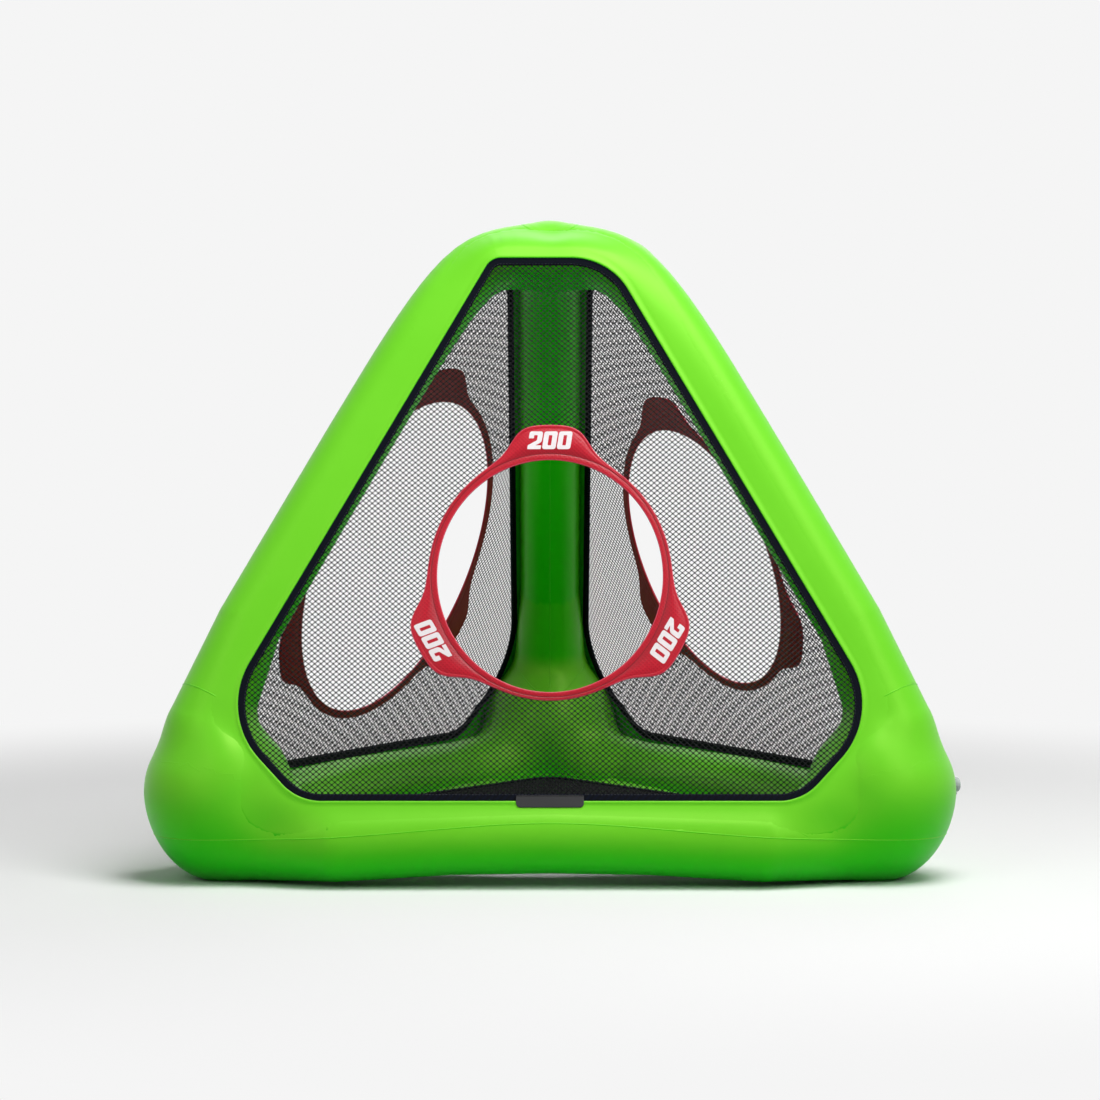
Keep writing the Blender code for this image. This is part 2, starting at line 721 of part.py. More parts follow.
def ring_turns(radius):
    """Directions of the ring's points, close together where a lobe rises."""
    outer = radius + RING_BAND + RING_LOBE
    flank = [LOBE_HALF_WIDTH + LOBE_FLANK * share for share in (-0.5, 0, 0.5)]
    steps = [0, LOBE_HALF_WIDTH / 2, *flank]
    sector = 2 * math.pi / SIDES
    turns = []
    for k in range(SIDES):
        middle = math.pi / 2 + k * sector
        turns.extend(middle - step / outer for step in reversed(steps))
        turns.extend(middle + step / outer for step in steps[1:])
        rest = sector - 2 * steps[-1] / outer
        turns.extend(middle + steps[-1] / outer + rest * share for share in (0.2, 0.4, 0.6, 0.8))
    return turns


def ring_mesh(radius, centre, level):
    low, high = level, level + RING_FILM
    rows = []
    for turn in ring_turns(radius):
        inner = centre + hole_point(radius, turn)
        outer = inner + (RING_BAND + lobe(turn, radius)) * Vector((math.cos(turn), math.sin(turn)))
        rows.append([(*inner, low), (*outer, low), (*outer, high), (*inner, high)])
    return loft_ring(rows)


def add_tab(side, holder, parts, finish):
    """The bare label tab, sewn at the middle of the lower tape and hanging over the strip."""
    corners = [(-TAB_HALF_WIDTH, -TAB_HANG), (TAB_HALF_WIDTH, -TAB_HANG),
               (TAB_HALF_WIDTH, TAB_UPPER), (-TAB_HALF_WIDTH, TAB_UPPER)]
    fillets = [TAB_FILLET, TAB_FILLET, TAB_FILLET / 4, TAB_FILLET / 4]
    shape = grown(round_corners(corners, fillets, 4), 0)
    level = NET_THICKNESS / 2 + TAPE_THICKNESS + STRIP_THICKNESS + 3 * LAYER_GAP + TAB_THICKNESS / 2
    item = add(f"{side}_label_tab", flat_sheet("tab", [shape], TAB_THICKNESS), parts, finish, holder)
    item.location = (0, PANEL_BOTTOM + TAPE_LAP, level)


def add_panels(parts, skin, net_black, tape_navy, ring_red, backing_red, tab_black):
    outline = side_outline()
    mesh_tape = tape_mesh(outline)
    mesh_strip = strip_mesh(side_outline(STRIP_FILLET_STEPS, STRIP_STEP), side_matrix(0))
    centre = Vector((0, RING_CENTRE_HEIGHT))
    film = NET_THICKNESS / 2 + LAYER_GAP
    for side, turn in SIDE_TURNS.items():
        holder = bpy.data.objects.new(f"{side}_panel", None)
        parts.objects.link(holder)
        holder.matrix_world = Matrix.Translation(AXIS_SHIFT) @ side_matrix(turn)
        radius = RING_RADII[side]
        add(f"{side}_net", net_mesh(outline, (radius, centre)), parts, net_black, holder)
        add(f"{side}_tape", mesh_tape.copy(), parts, tape_navy, holder)
        add(f"{side}_strip", mesh_strip.copy(), parts, skin, holder)
        add(f"{side}_ring", ring_mesh(radius, centre, film), parts, ring_red, holder)
        add(f"{side}_ring_backing", ring_mesh(radius, centre, -film - RING_FILM), parts, backing_red, holder)
        add_tab(side, holder, parts, tab_black)
    floor = base_outline()
    holder = bpy.data.objects.new("base_panel", None)
    parts.objects.link(holder)
    holder.matrix_world = Matrix.Translation(AXIS_SHIFT) @ base_matrix()
    add("base_net", net_mesh(floor, None), parts, net_black, holder)
    add("base_tape", tape_mesh(floor), parts, tape_navy, holder)
    strip = strip_mesh(base_outline(FILLET_STEPS, STRIP_STEP), base_matrix())
    add("base_strip", strip, parts, skin, holder)


# Air valve: turned pieces on one outward axis
def turned(name, profile, parts, finish, holder):
    """A turned piece: a profile of radius and height screwed round Z, closed if it is off the axis."""
    corners = [(radius, 0, height) for radius, height in profile]
    edges = [(i, i + 1) for i in range(len(corners) - 1)]
    if profile[0][0] > 0:
        edges.append((len(corners) - 1, 0))
    mesh = bpy.data.meshes.new(name)
    mesh.from_pydata(corners, edges, [])
    item = add(name, mesh, parts, finish, holder)
    screw = item.modifiers.new("Screw", "SCREW")
    screw.steps = TURNED_STEPS
    screw.render_steps = TURNED_STEPS
    screw.use_merge_vertices = True
    screw.merge_threshold = MERGE_DISTANCE
    return item


def valve_matrix():
    """Frame of the valve: origin on the corner's wall, +Z outwards."""
    turn = LEG_TURNS["right"]
    ball = Vector((CORNER_REACH * math.cos(turn), CORNER_REACH * math.sin(turn), VALVE_HEIGHT))
    way = Vector((math.cos(VALVE_TURN), math.sin(VALVE_TURN), 0))
    spot = ball + way * CORNER_RADIUS
    for _ in range(WALL_ROUNDS ** 2):
        spot -= way * frame_distance(np.array([spot]))[0]
    return Matrix.Translation(spot + AXIS_SHIFT) @ way.to_track_quat("Z", "Y").to_matrix().to_4x4()


def add_valve(parts, cutters, upper, clear_pvc, strap):
    place = valve_matrix()
    seat = -VALVE_SEAT_DEPTH
    holder = bpy.data.objects.new("valve", None)
    parts.objects.link(holder)
    holder.matrix_world = place
    for name, radius, low in (("valve_seat", VALVE_SEAT_RADIUS, seat),
                              ("valve_pocket", VALVE_POCKET_RADIUS, seat - VALVE_POCKET_DEPTH)):
        steps = [2 * math.pi * step / TURNED_STEPS for step in range(TURNED_STEPS)]
        bore = prism([(radius * math.cos(turn), radius * math.sin(turn)) for turn in steps],
                     low, CUT_OVERRUN)
        cut(upper, as_cutter(name, bore, cutters, place))

    base = seat + RUNNING_GAP
    top = base + FLANGE_THICKNESS
    bore = STEM_RADIUS + RUNNING_GAP
    turned("valve_flange", [(FLANGE_RADIUS, top - FLANGE_THICKNESS / 3), (FLANGE_RADIUS, base), (bore, base),
                            (bore, top), (FLANGE_RADIUS - FLANGE_THICKNESS, top)],
           parts, clear_pvc, holder)
    outer = top + STEM_OUTER_LENGTH
    inner = seat - STEM_INNER_LENGTH
    rim = outer - STEM_RIM_HEIGHT
    turned("valve_stem", [(STEM_RADIUS, rim), (STEM_RADIUS, inner), (STEM_BORE, inner), (STEM_BORE, outer),
                          (STEM_RIM_RADIUS, outer), (STEM_RIM_RADIUS, rim)], parts, clear_pvc, holder)
    under = outer + RUNNING_GAP
    cap = under + PLUG_CAP_HEIGHT
    edge = PLUG_CAP_HEIGHT / 4
    turned("valve_plug", [(0, cap), (PLUG_CAP_RADIUS - edge, cap), (PLUG_CAP_RADIUS, cap - edge),
                          (PLUG_CAP_RADIUS, under), (PLUG_PIN_RADIUS, under),
                          (PLUG_PIN_RADIUS, under - PLUG_PIN_LENGTH), (0, under - PLUG_PIN_LENGTH)],
           parts, clear_pvc, holder)
    hinge = bpy.data.objects.new("valve_flap_hinge", None)
    parts.objects.link(hinge)
    hinge.parent = holder
    hinge.location = (-FLAP_RADIUS, 0, inner - RUNNING_GAP)
    flap = turned("valve_flap", [(0, 0), (FLAP_RADIUS, 0), (FLAP_RADIUS, -FLAP_THICKNESS),
                                 (0, -FLAP_THICKNESS)], parts, clear_pvc, hinge)
    flap.location.x = FLAP_RADIUS
    add_tether(parts, strap, holder, top, cap)


def add_tether(parts, strap, holder, base, top):
    """The strap that keeps the plug: from the flange, bowed outwards, to the cap's rim."""
    curve = bpy.data.curves.new("valve_tether", "CURVE")
    curve.dimensions = "3D"
    curve.bevel_depth = TETHER_RADIUS
    curve.bevel_resolution = 1
    curve.use_fill_caps = True
    away = TETHER_RADIUS + RUNNING_GAP
    start = Vector((0, 2 * away - FLANGE_RADIUS, base + away))
    end = Vector((0, -PLUG_CAP_RADIUS - away, top - PLUG_CAP_HEIGHT / 2))
    line = curve.splines.new("POLY")
    line.points.add(TETHER_STEPS)
    for i, point in enumerate(line.points):
        share = i / TETHER_STEPS
        bow = TETHER_BULGE * math.sin(math.pi * share)
        point.co = (*(start.lerp(end, share) - Vector((0, bow, 0))), 1)
    source = bpy.data.objects.new("tether_line", curve)
    mesh = bpy.data.meshes.new_from_object(source)
    bpy.data.objects.remove(source)

    def build(work):
        work.from_mesh(mesh)
        bmesh.ops.remove_doubles(work, verts=work.verts, dist=MERGE_DISTANCE)
    add("valve_tether", mesh_from("valve_tether", build), parts, strap, holder)


def build():
    clear_scene()
    parts = collection("pool_target_game")
    cutters = collection("cutters")
    skin = material("green_pvc", (0.16, 0.68, 0.03), 0.38)
    net_black = material("black_net", (0.012, 0.012, 0.014), 0.7)
    tape_navy = material("navy_tape", (0.006, 0.009, 0.02), 0.6)
    ring_red = material("red_film", (0.63, 0.01, 0.04), 0.35)
    backing_red = material("dark_red_backing", (0.16, 0.004, 0.01), 0.5)
    tab_black = material("black_tab", (0.01, 0.01, 0.012), 0.45)
    clear_pvc = material("clear_pvc", (0.8, 0.82, 0.82), 0.2)
    strap = material("clear_strap", (0.78, 0.8, 0.8), 0.25)
    upper = add_frame(parts, cutters, skin)
    add_panels(parts, skin, net_black, tape_navy, ring_red, backing_red, tab_black)
    add_valve(parts, cutters, upper, clear_pvc, strap)


build()
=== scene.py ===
"""Looks of an inflatable target game for a pool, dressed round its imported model.

Metres, +Z up, and the front side faces -Y, as in the model. The script runs from top to bottom,
one section for each piece or group of like pieces, in the order in which they are put together.
"""

import math

import bmesh
import bpy
import numpy as np
from mathutils import Matrix, Vector


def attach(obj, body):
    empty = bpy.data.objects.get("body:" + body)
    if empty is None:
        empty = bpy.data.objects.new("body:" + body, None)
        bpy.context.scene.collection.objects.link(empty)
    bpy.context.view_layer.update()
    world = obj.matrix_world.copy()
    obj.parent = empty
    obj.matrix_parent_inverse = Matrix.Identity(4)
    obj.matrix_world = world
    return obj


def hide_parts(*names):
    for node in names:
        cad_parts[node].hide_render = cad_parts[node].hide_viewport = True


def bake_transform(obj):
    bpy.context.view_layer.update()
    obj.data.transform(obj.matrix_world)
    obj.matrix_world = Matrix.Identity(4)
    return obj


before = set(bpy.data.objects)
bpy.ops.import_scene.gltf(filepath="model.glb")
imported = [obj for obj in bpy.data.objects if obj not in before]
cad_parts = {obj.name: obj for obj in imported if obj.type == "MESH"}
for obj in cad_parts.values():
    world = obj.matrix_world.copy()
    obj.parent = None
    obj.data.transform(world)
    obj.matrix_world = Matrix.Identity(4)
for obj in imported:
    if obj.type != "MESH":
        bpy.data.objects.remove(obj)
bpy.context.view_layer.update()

# Camera: it stands five metres in front of the frame's axis, a little below its top, and looks
# slightly down through a long lens, so the three sides show with little perspective.
CAMERA_PLACE = (0, -5.0981, 0.6645)
CAMERA_TILT = math.radians(86.421)
CAMERA_FOCAL_MM = 142.4
CAMERA_SENSOR_MM = 36
camera = bpy.data.objects.new("camera", bpy.data.cameras.new("camera"))
camera.location = CAMERA_PLACE
camera.rotation_euler = (CAMERA_TILT, 0, 0)
camera.data.lens = CAMERA_FOCAL_MM
camera.data.sensor_width = CAMERA_SENSOR_MM
bpy.context.scene.collection.objects.link(camera)
bpy.context.scene.camera = camera

# Shape of the air-filled frame: three round legs, a base ring that swells at its corners, and
# soft fillets where they are welded into one another. The film is blown tight, so its wall is
# one smooth surface. It repeats three times round an upright axis.
SIDES = 3
PANEL_LEAN = math.radians(18.6)
PANEL_FOOT_REACH = 0.3228
PANEL_STANDOFF = 0.0325
LEG_RADIUS = 0.0365
NECK_RADIUS = 0.0345
CROWN_RADIUS = 0.0395
CROWN_DROP = 0.1651
CROWN_TIGHTNESS_SHARE = 4.8
CROWN_FILL = 0.0085
NECK_REACH = 0.08
LEG_TOP_REACH = 0.20
LEG_FOOT_REACH = 0.3853
ANKLE_REACH = 0.4361
ANKLE_HEIGHT = 0.1748
ANKLE_RADIUS = 0.0454
ANKLE_BLEND = 0.0276
LEG_BLEND = 0.0744
LEG_BLEND_FROM = 0.035
LEG_BLEND_FULL = 0.095
SIDE_HEIGHT = 0.0599
SIDE_RADIUS = 0.0414
SIDE_PROUD = 0.0085
HAUNCH_HEIGHT = 0.0582
HAUNCH_RADIUS = 0.0413
HAUNCH_SHARE = 0.70
SHOULDER_HEIGHT = 0.0536
SHOULDER_RADIUS = 0.0445
SHOULDER_SHARE = 0.36
RING_END_HEIGHT = 0.0623
RING_END_RADIUS = 0.0578
CORNER_REACH = 0.4234
CORNER_HEIGHT = 0.1025
CORNER_RADIUS = 0.0825
CORNER_BLEND = 0.030
CROWN_STATIONS = 17
FOOT_STATIONS = 5
LEAN_TAN = math.tan(PANEL_LEAN)
LEAN_COS = math.cos(PANEL_LEAN)
SECTOR = 2 * math.pi / SIDES
LEG_TURNS = {"back": math.pi / 2, "left": math.pi * 7 / 6, "right": -math.pi / 6}
SIDE_TURNS = {"front": 0.0, "right": SECTOR, "left": -SECTOR}
SIDE_WALL_REACH = PANEL_FOOT_REACH - PANEL_STANDOFF / LEAN_COS - LEAN_TAN * SIDE_HEIGHT + SIDE_RADIUS
CORNER_WALL_REACH = CORNER_REACH + CORNER_RADIUS
AXIS_PLACE = Vector((0, (SIDE_WALL_REACH - CORNER_WALL_REACH) / 2, RING_END_RADIUS - RING_END_HEIGHT))
PROBE = 0.0003
WALL_ROUNDS = 5


def leg_line():
    """Stations down the middle of a leg, in its own upright plane, and the leg's radii there."""
    crown = np.linspace(0, LEG_TOP_REACH, CROWN_STATIONS)
    foot = np.linspace(LEG_TOP_REACH, LEG_FOOT_REACH, FOOT_STATIONS)
    reach = np.concatenate([crown, foot[1:]])
    sharp_top = (PANEL_FOOT_REACH - PANEL_STANDOFF / LEAN_COS) / LEAN_TAN
    power = CROWN_TIGHTNESS_SHARE
    drop = ((reach / (2 * LEAN_TAN)) ** power + CROWN_DROP ** power) ** (1 / power)
    ease = (1 - np.cos(math.pi * np.interp(reach, [0, NECK_REACH, LEG_TOP_REACH], [0, 1, 2]))) / 2
    radii = np.where(reach < NECK_REACH, CROWN_RADIUS, LEG_RADIUS)
    radii = radii + (NECK_RADIUS - radii) * ease
    line = np.stack([reach, np.zeros_like(reach), sharp_top - drop], axis=1)
    return np.vstack([line, [ANKLE_REACH, 0, ANKLE_HEIGHT]]), np.append(radii, ANKLE_RADIUS)


def ring_line():
    """Stations along half of a base tube, from a corner to the middle of a side, and its radii."""
    radii = [RING_END_RADIUS, SHOULDER_RADIUS, HAUNCH_RADIUS, SIDE_RADIUS]
    heights = (SHOULDER_HEIGHT, HAUNCH_HEIGHT, SIDE_HEIGHT)
    shares = (1 - SHOULDER_SHARE, 1 - HAUNCH_SHARE, 0)
    stations = [(CORNER_REACH, 0, RING_END_HEIGHT)]
    for height, share, radius in zip(heights, shares, radii[1:]):
        outward = PANEL_FOOT_REACH - LEAN_TAN * height - (radius - SIDE_PROUD) / LEAN_COS
        sideways = CORNER_REACH * math.sin(SECTOR / 2) * share
        turn = SECTOR / 2
        stations.append((outward * math.cos(turn) + sideways * math.sin(turn),
                         outward * math.sin(turn) - sideways * math.cos(turn), height))
    return np.array(stations), radii


def run_together(first, second, width):
    share = np.clip(0.5 + 0.5 * (second - first) / width, 0, 1)
    return second * (1 - share) + first * share - width * share * (1 - share)


def tube_distance(points, stations, radii):
    """Distance from points to a tube of changing radius laid through the stations."""
    nearest = np.full(len(points), np.inf)
    for i in range(len(stations) - 1):
        along = stations[i + 1] - stations[i]
        share = np.clip((points - stations[i]) @ along / (along @ along), 0, 1)
        middle = stations[i] + share[:, None] * along
        radius = radii[i] + (radii[i + 1] - radii[i]) * share
        nearest = np.minimum(nearest, np.linalg.norm(points - middle, axis=1) - radius)
    return nearest


def wall_distance(points):
    """Distance from points to the frame's film, negative inside."""
    spots = np.asarray(points, float) - np.array(AXIS_PLACE)
    reach = np.hypot(spots[:, 0], spots[:, 1])
    turn = np.arctan2(spots[:, 1], spots[:, 0]) - LEG_TURNS["back"]
    turn = np.abs(np.mod(turn + SECTOR / 2, SECTOR) - SECTOR / 2)
    here = np.stack([reach * np.cos(turn), reach * np.sin(turn), spots[:, 2]], axis=1)
    turn = SECTOR - turn
    beyond = np.stack([reach * np.cos(turn), reach * np.sin(turn), spots[:, 2]], axis=1)
    stations, radii = leg_line()
    leg = tube_distance(here, stations, radii)
    leg = run_together(leg, tube_distance(beyond, stations[:CROWN_STATIONS], radii), CROWN_FILL)
    ring = tube_distance(here, *ring_line())
    corner = np.linalg.norm(here - np.array([CORNER_REACH, 0, CORNER_HEIGHT]), axis=1) - CORNER_RADIUS
    share = np.clip((here[:, 1] - LEG_BLEND_FROM) / (LEG_BLEND_FULL - LEG_BLEND_FROM), 0, 1)
    width = ANKLE_BLEND + (LEG_BLEND - ANKLE_BLEND) * share * share * (3 - 2 * share)
    return run_together(run_together(ring, corner, CORNER_BLEND), leg, width)


def wall_normal(points):
    slope = np.stack([wall_distance(points + PROBE * axis) - wall_distance(points - PROBE * axis)
                      for axis in np.eye(3)], axis=1)
    return slope / np.linalg.norm(slope, axis=1, keepdims=True)


def onto_wall(points, proud=0):
    for _ in range(WALL_ROUNDS):
        points = points - (wall_distance(points) - proud)[:, None] * wall_normal(points)
    return points


def along_ray(starts, ways, rounds=60):
    """Where rays that start inside or outside the film meet it."""
    side = np.sign(wall_distance(starts))
    spots = starts.copy()
    for _ in range(rounds):
        spots += (side * wall_distance(spots))[:, None] * ways
    return spots


# Green PVC film, 0.3 mm, calendered: plasticised sheet with a satin, slightly milky gloss. Its
# colour holds painted light and shade: painted yellow-green where it faces up, and a painted-shade
# deep pure green where it faces down. Within a finger's breadth of a weld the stretched film puckers.
FILM_GREEN = "#72d82c"
FILM_GREEN_CLOUDED = "#68d222"
# Painted shade: the deep green that the film is painted where it faces down.
FILM_GREEN_PAINTED_SHADE = "#04dc00"
FILM_GLOSS_TINT = "#e8ff88"
FILM_CLOUD_SIZE = 0.09
FILM_GRAIN_SIZE = 0.0011
PUCKER_LENGTH = 0.011
PUCKER_FADE = 0.011
PUCKER_DEPTH = 0.00025
FILM_ROUGHNESS = (0.34, 0.42)
# Facing values where the painted shade is whole and where it is gone.
PAINTED_SHADE_FULL_AT, PAINTED_SHADE_NONE_AT = -0.6, 0.3


def linear(code):
    """An sRGB hex colour as the linear values that a shader takes."""
    values = [int(code[i:i + 2], 16) / 255 for i in (1, 3, 5)]
    return (*[v / 12.92 if v <= 0.04045 else ((v + 0.055) / 1.055) ** 2.4 for v in values], 1)


def new_tree(name):
    made = bpy.data.materials.new(name)
    made.use_nodes = True
    made.node_tree.nodes.clear()
    return made, made.node_tree


def node(tree, kind, sockets=None, gives=0, **settings):
    """Adds a shader node. Sockets take a value or the output that feeds them."""
    made = tree.nodes.new("ShaderNode" + kind)
    for name, value in settings.items():
        setattr(made, name, value)
    for name, value in (sockets or {}).items():
        if isinstance(value, bpy.types.NodeSocket):
            tree.links.new(value, made.inputs[name])
        else:
            made.inputs[name].default_value = value
    return made.outputs[gives] if made.outputs else None


def film_material():
    made, tree = new_tree("green_pvc_film_painted_shade")
    place = node(tree, "NewGeometry")
    clouds = node(tree, "TexNoise", {"Vector": place, "Scale": 1 / FILM_CLOUD_SIZE, "Detail": 3})
    colour = node(tree, "MixRGB", {"Fac": clouds, "Color1": linear(FILM_GREEN_CLOUDED),
                                   "Color2": linear(FILM_GREEN)})
    # How far the film faces up: -1 straight down, 1 straight up.
    facing = node(tree, "NewGeometry", gives="Normal")
    facing = node(tree, "SeparateXYZ", {"Vector": facing}, gives="Z")
    # Painted light and shade: the film is painted deep green where it faces down and paler green where it
    # faces up.
    painted_light_share = node(tree, "MapRange", {"Value": facing, "From Min": PAINTED_SHADE_FULL_AT, "From Max": PAINTED_SHADE_NONE_AT},
                interpolation_type="SMOOTHSTEP")
    colour = node(tree, "MixRGB", {"Fac": painted_light_share, "Color1": linear(FILM_GREEN_PAINTED_SHADE), "Color2": colour})
    grain = node(tree, "TexNoise", {"Vector": place, "Scale": 1 / FILM_GRAIN_SIZE, "Detail": 2})
    run = node(tree, "Attribute", gives="Fac", attribute_name="weld_run")
    off = node(tree, "Attribute", gives="Fac", attribute_name="weld_off")
    spot = node(tree, "CombineXYZ", {
        "X": node(tree, "Math", {0: run, 1: 1 / PUCKER_LENGTH}, operation="MULTIPLY"),
        "Y": node(tree, "Math", {0: off, 1: 1 / (6 * PUCKER_LENGTH)}, operation="MULTIPLY")})
    folds = node(tree, "TexNoise", {"Vector": spot, "Scale": 1.0, "Detail": 1.5})
    fade = node(tree, "Math", {0: off, 1: 1 / PUCKER_FADE}, operation="MULTIPLY")
    fade = node(tree, "Math", {0: node(tree, "Math", {0: fade}, operation="ABSOLUTE"), 1: -1.0},
                operation="MULTIPLY")
    fade = node(tree, "Math", {0: math.e, 1: fade}, operation="POWER")
    pucker = node(tree, "Math", {0: folds, 1: fade}, operation="MULTIPLY")
    normal = node(tree, "Bump", {"Height": grain, "Strength": 0.10, "Distance": FILM_GRAIN_SIZE / 6})
    normal = node(tree, "Bump", {"Height": pucker, "Distance": PUCKER_DEPTH, "Strength": 1.0,
                                 "Normal": normal})
    roughness = node(tree, "MapRange", {"Value": clouds, "To Min": FILM_ROUGHNESS[0],
                                        "To Max": FILM_ROUGHNESS[1]})
    surface = node(tree, "BsdfPrincipled", {
        "Base Color": colour, "Roughness": roughness, "IOR": 1.54, "Specular IOR Level": 0.45,
        "Specular Tint": linear(FILM_GLOSS_TINT), "Normal": normal})
    node(tree, "OutputMaterial", {"Surface": surface})
    return made


green_film = film_material()

# Skins: five pieces of film, cut flat and welded edge to edge. A lower and an upper skin make the
# base ring, and each leg is one rolled skin. Every skin is cut along the same lines as its solid,
# and drawn fine and smooth onto the blown shape.
SKIN_EDGE = 0.009
SKIN_ROUNDS = 4
ON_WALL = 0.020
OUTER_FACING = 0.5
MERGE = 0.00002
SEAM_CORNER_HEIGHT = 0.056
SEAM_SIDE_HEIGHT = 0.078
WELD_REACH = 0.437
WELD_HEIGHT = 0.207
WELD_LEAN = math.atan2(2 * LEAN_TAN, 1)
VALVE_SEAT_RADIUS = 0.0170
VALVE_SEAT_DEPTH = 0.0020
VALVE_HOLE_SHARE = 1.2
VALVE_RIM_SHARE = 1.3
VALVE_FLAT_SHARE = 0.98
STEM_RADIUS = 0.0070
VALVE_PLACE = Vector((0.44141, -0.27492, 0.1005))
VALVE_TURN = math.radians(25)
valve_frame = (Matrix.Translation(VALVE_PLACE)
               @ Vector((math.cos(VALVE_TURN), math.sin(VALVE_TURN), 0)).to_track_quat("Z", "Y")
               .to_matrix().to_4x4())


def seam_height(turn):
    """Height of the ground seam: it rides up in the middle of each side and dips at the corners."""
    swing = (SEAM_SIDE_HEIGHT - SEAM_CORNER_HEIGHT) / 2
    middle = SEAM_SIDE_HEIGHT - swing
    return AXIS_PLACE.z + middle - swing * np.cos(SIDES * (turn - LEG_TURNS["back"]))


def coordinates(mesh):
    spots = np.empty(len(mesh.vertices) * 3)
    mesh.vertices.foreach_get("co", spots)
    return spots.reshape(-1, 3)


def add(name, mesh, finish, body="frame", stands_for=(), place=None):
    """Puts a piece into the scene: its material, the body it rides on and what it stands for."""
    mesh.materials.clear()
    mesh.materials.append(finish)
    item = bpy.data.objects.new(name, mesh)
    bpy.context.scene.collection.objects.link(item)
    if place is not None:
        item.matrix_world = place
    if body:
        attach(item, body)
    if stands_for:
        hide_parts(*stands_for)
    return item


def note(mesh, name, values):
    """Keeps one number for each vertex, for the mesh's material to read."""
    mesh.attributes.new(name, "FLOAT", "POINT").data.foreach_set("value", np.asarray(values, np.float32))


def seat_valve(work):
    """Draws the rim of the hole for the valve inwards, to lie under the valve's flange."""
    into = valve_frame.inverted()
    reach = VALVE_RIM_SHARE * VALVE_SEAT_RADIUS
    rim = [edge for edge in work.edges if edge.is_boundary
           and all((vert.co - VALVE_PLACE).length < reach for vert in edge.verts)]
    drawn = bmesh.ops.extrude_edge_only(work, edges=rim)["geom"]
    for vert in (part for part in drawn if isinstance(part, bmesh.types.BMVert)):
        spot = into @ vert.co
        flat = Vector((spot.x, spot.y)).normalized() * STEM_RADIUS
        vert.co = valve_frame @ Vector((flat.x, flat.y, -VALVE_SEAT_DEPTH))


def skin_mesh(source):
    """The outer wall of a solid, split until its edges are short and laid on the blown shape."""
    work = bmesh.new()
    work.from_mesh(source)
    bmesh.ops.remove_doubles(work, verts=work.verts, dist=MERGE)
    work.faces.ensure_lookup_table()
    middles = np.array([face.calc_center_median() for face in work.faces])
    facing = np.array([face.normal for face in work.faces])
    spots = np.array([vert.co for vert in work.verts])
    work.verts.index_update()
    off = np.abs(wall_distance(spots))
    seat = np.linalg.norm(spots - np.array(VALVE_PLACE), axis=1) < VALVE_HOLE_SHARE * VALVE_SEAT_RADIUS
    inner = [face for face, out, way in zip(work.faces, wall_normal(middles), facing)
             if out @ way < OUTER_FACING or max(off[vert.index] for vert in face.verts) > ON_WALL
             or all(seat[vert.index] for vert in face.verts)]
    bmesh.ops.delete(work, geom=inner, context="FACES")
    for _ in range(SKIN_ROUNDS):
        long = [edge for edge in work.edges if edge.calc_length() > SKIN_EDGE]
        if long:
            bmesh.ops.subdivide_edges(work, edges=long, cuts=1)
        bmesh.ops.triangulate(work, faces=[face for face in work.faces if len(face.verts) > 3])
        spots = onto_wall(np.array([vert.co for vert in work.verts]))
        for vert, spot in zip(work.verts, spots):
            vert.co = spot
    seat_valve(work)
    mesh = bpy.data.meshes.new("skin")
    work.to_mesh(mesh)
    work.free()
    spots = coordinates(mesh)
    spots[:, 2] = np.maximum(spots[:, 2], 0)
    mesh.vertices.foreach_set("co", spots.ravel())
    mesh.shade_smooth()
    seated = np.linalg.norm(spots - np.array(VALVE_PLACE), axis=1) < VALVE_SEAT_RADIUS * VALVE_FLAT_SHARE
    normals = wall_normal(spots)
    normals[seated] = valve_frame.col[2][:3]
    mesh.normals_split_custom_set_from_vertices(normals)
    return mesh


def note_no_weld(mesh):
    note(mesh, "weld_off", np.full(len(mesh.vertices), PUCKER_FADE))
    note(mesh, "weld_run", np.zeros(len(mesh.vertices)))


def note_welds(mesh):
    """Distance from the nearest weld and along it, which the film's puckers follow."""
    spots = coordinates(mesh) - np.array(AXIS_PLACE)
    turn = np.arctan2(spots[:, 1], spots[:, 0])
    off = spots[:, 2] + AXIS_PLACE.z - seam_height(turn)
    run = turn * CORNER_REACH
    for leg_turn in LEG_TURNS.values():
        outward = spots[:, 0] * math.cos(leg_turn) + spots[:, 1] * math.sin(leg_turn)
        sideways = spots[:, 1] * math.cos(leg_turn) - spots[:, 0] * math.sin(leg_turn)
        above = ((spots[:, 2] - WELD_HEIGHT) * math.cos(WELD_LEAN)
                 - (outward - WELD_REACH) * math.sin(WELD_LEAN))
        across = ((spots[:, 2] - WELD_HEIGHT) * math.sin(WELD_LEAN)
                  + (outward - WELD_REACH) * math.cos(WELD_LEAN))
        near = (np.abs(above) < np.abs(off)) & (np.hypot(across, sideways) < 2 * CORNER_RADIUS)
        run = np.where(near, np.arctan2(sideways, across) * LEG_RADIUS, run)
        off = np.where(near, above, off)
    note(mesh, "weld_off", off)
    note(mesh, "weld_run", run)


for skin in ("base_lower_skin", "base_upper_skin", "leg_left", "leg_right", "leg_back"):
    film = skin_mesh(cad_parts[skin].data)
    note_welds(film)
    add(skin.replace("_skin", "") + "_film", film, green_film, stands_for=[skin])

# Welds: where two skins meet, a tool melts their edges into a narrow raised line. One runs round
# the outside and one round the inside of the base, one round the foot of each leg, and one up the
# inner side of each leg.
BEAD_RADIUS = 0.00075
BEAD_SUNK = 0.00030
BEAD_STEP = 0.004
BEAD_CORNERS = 8
LEG_WELD_BELOW = 0.040


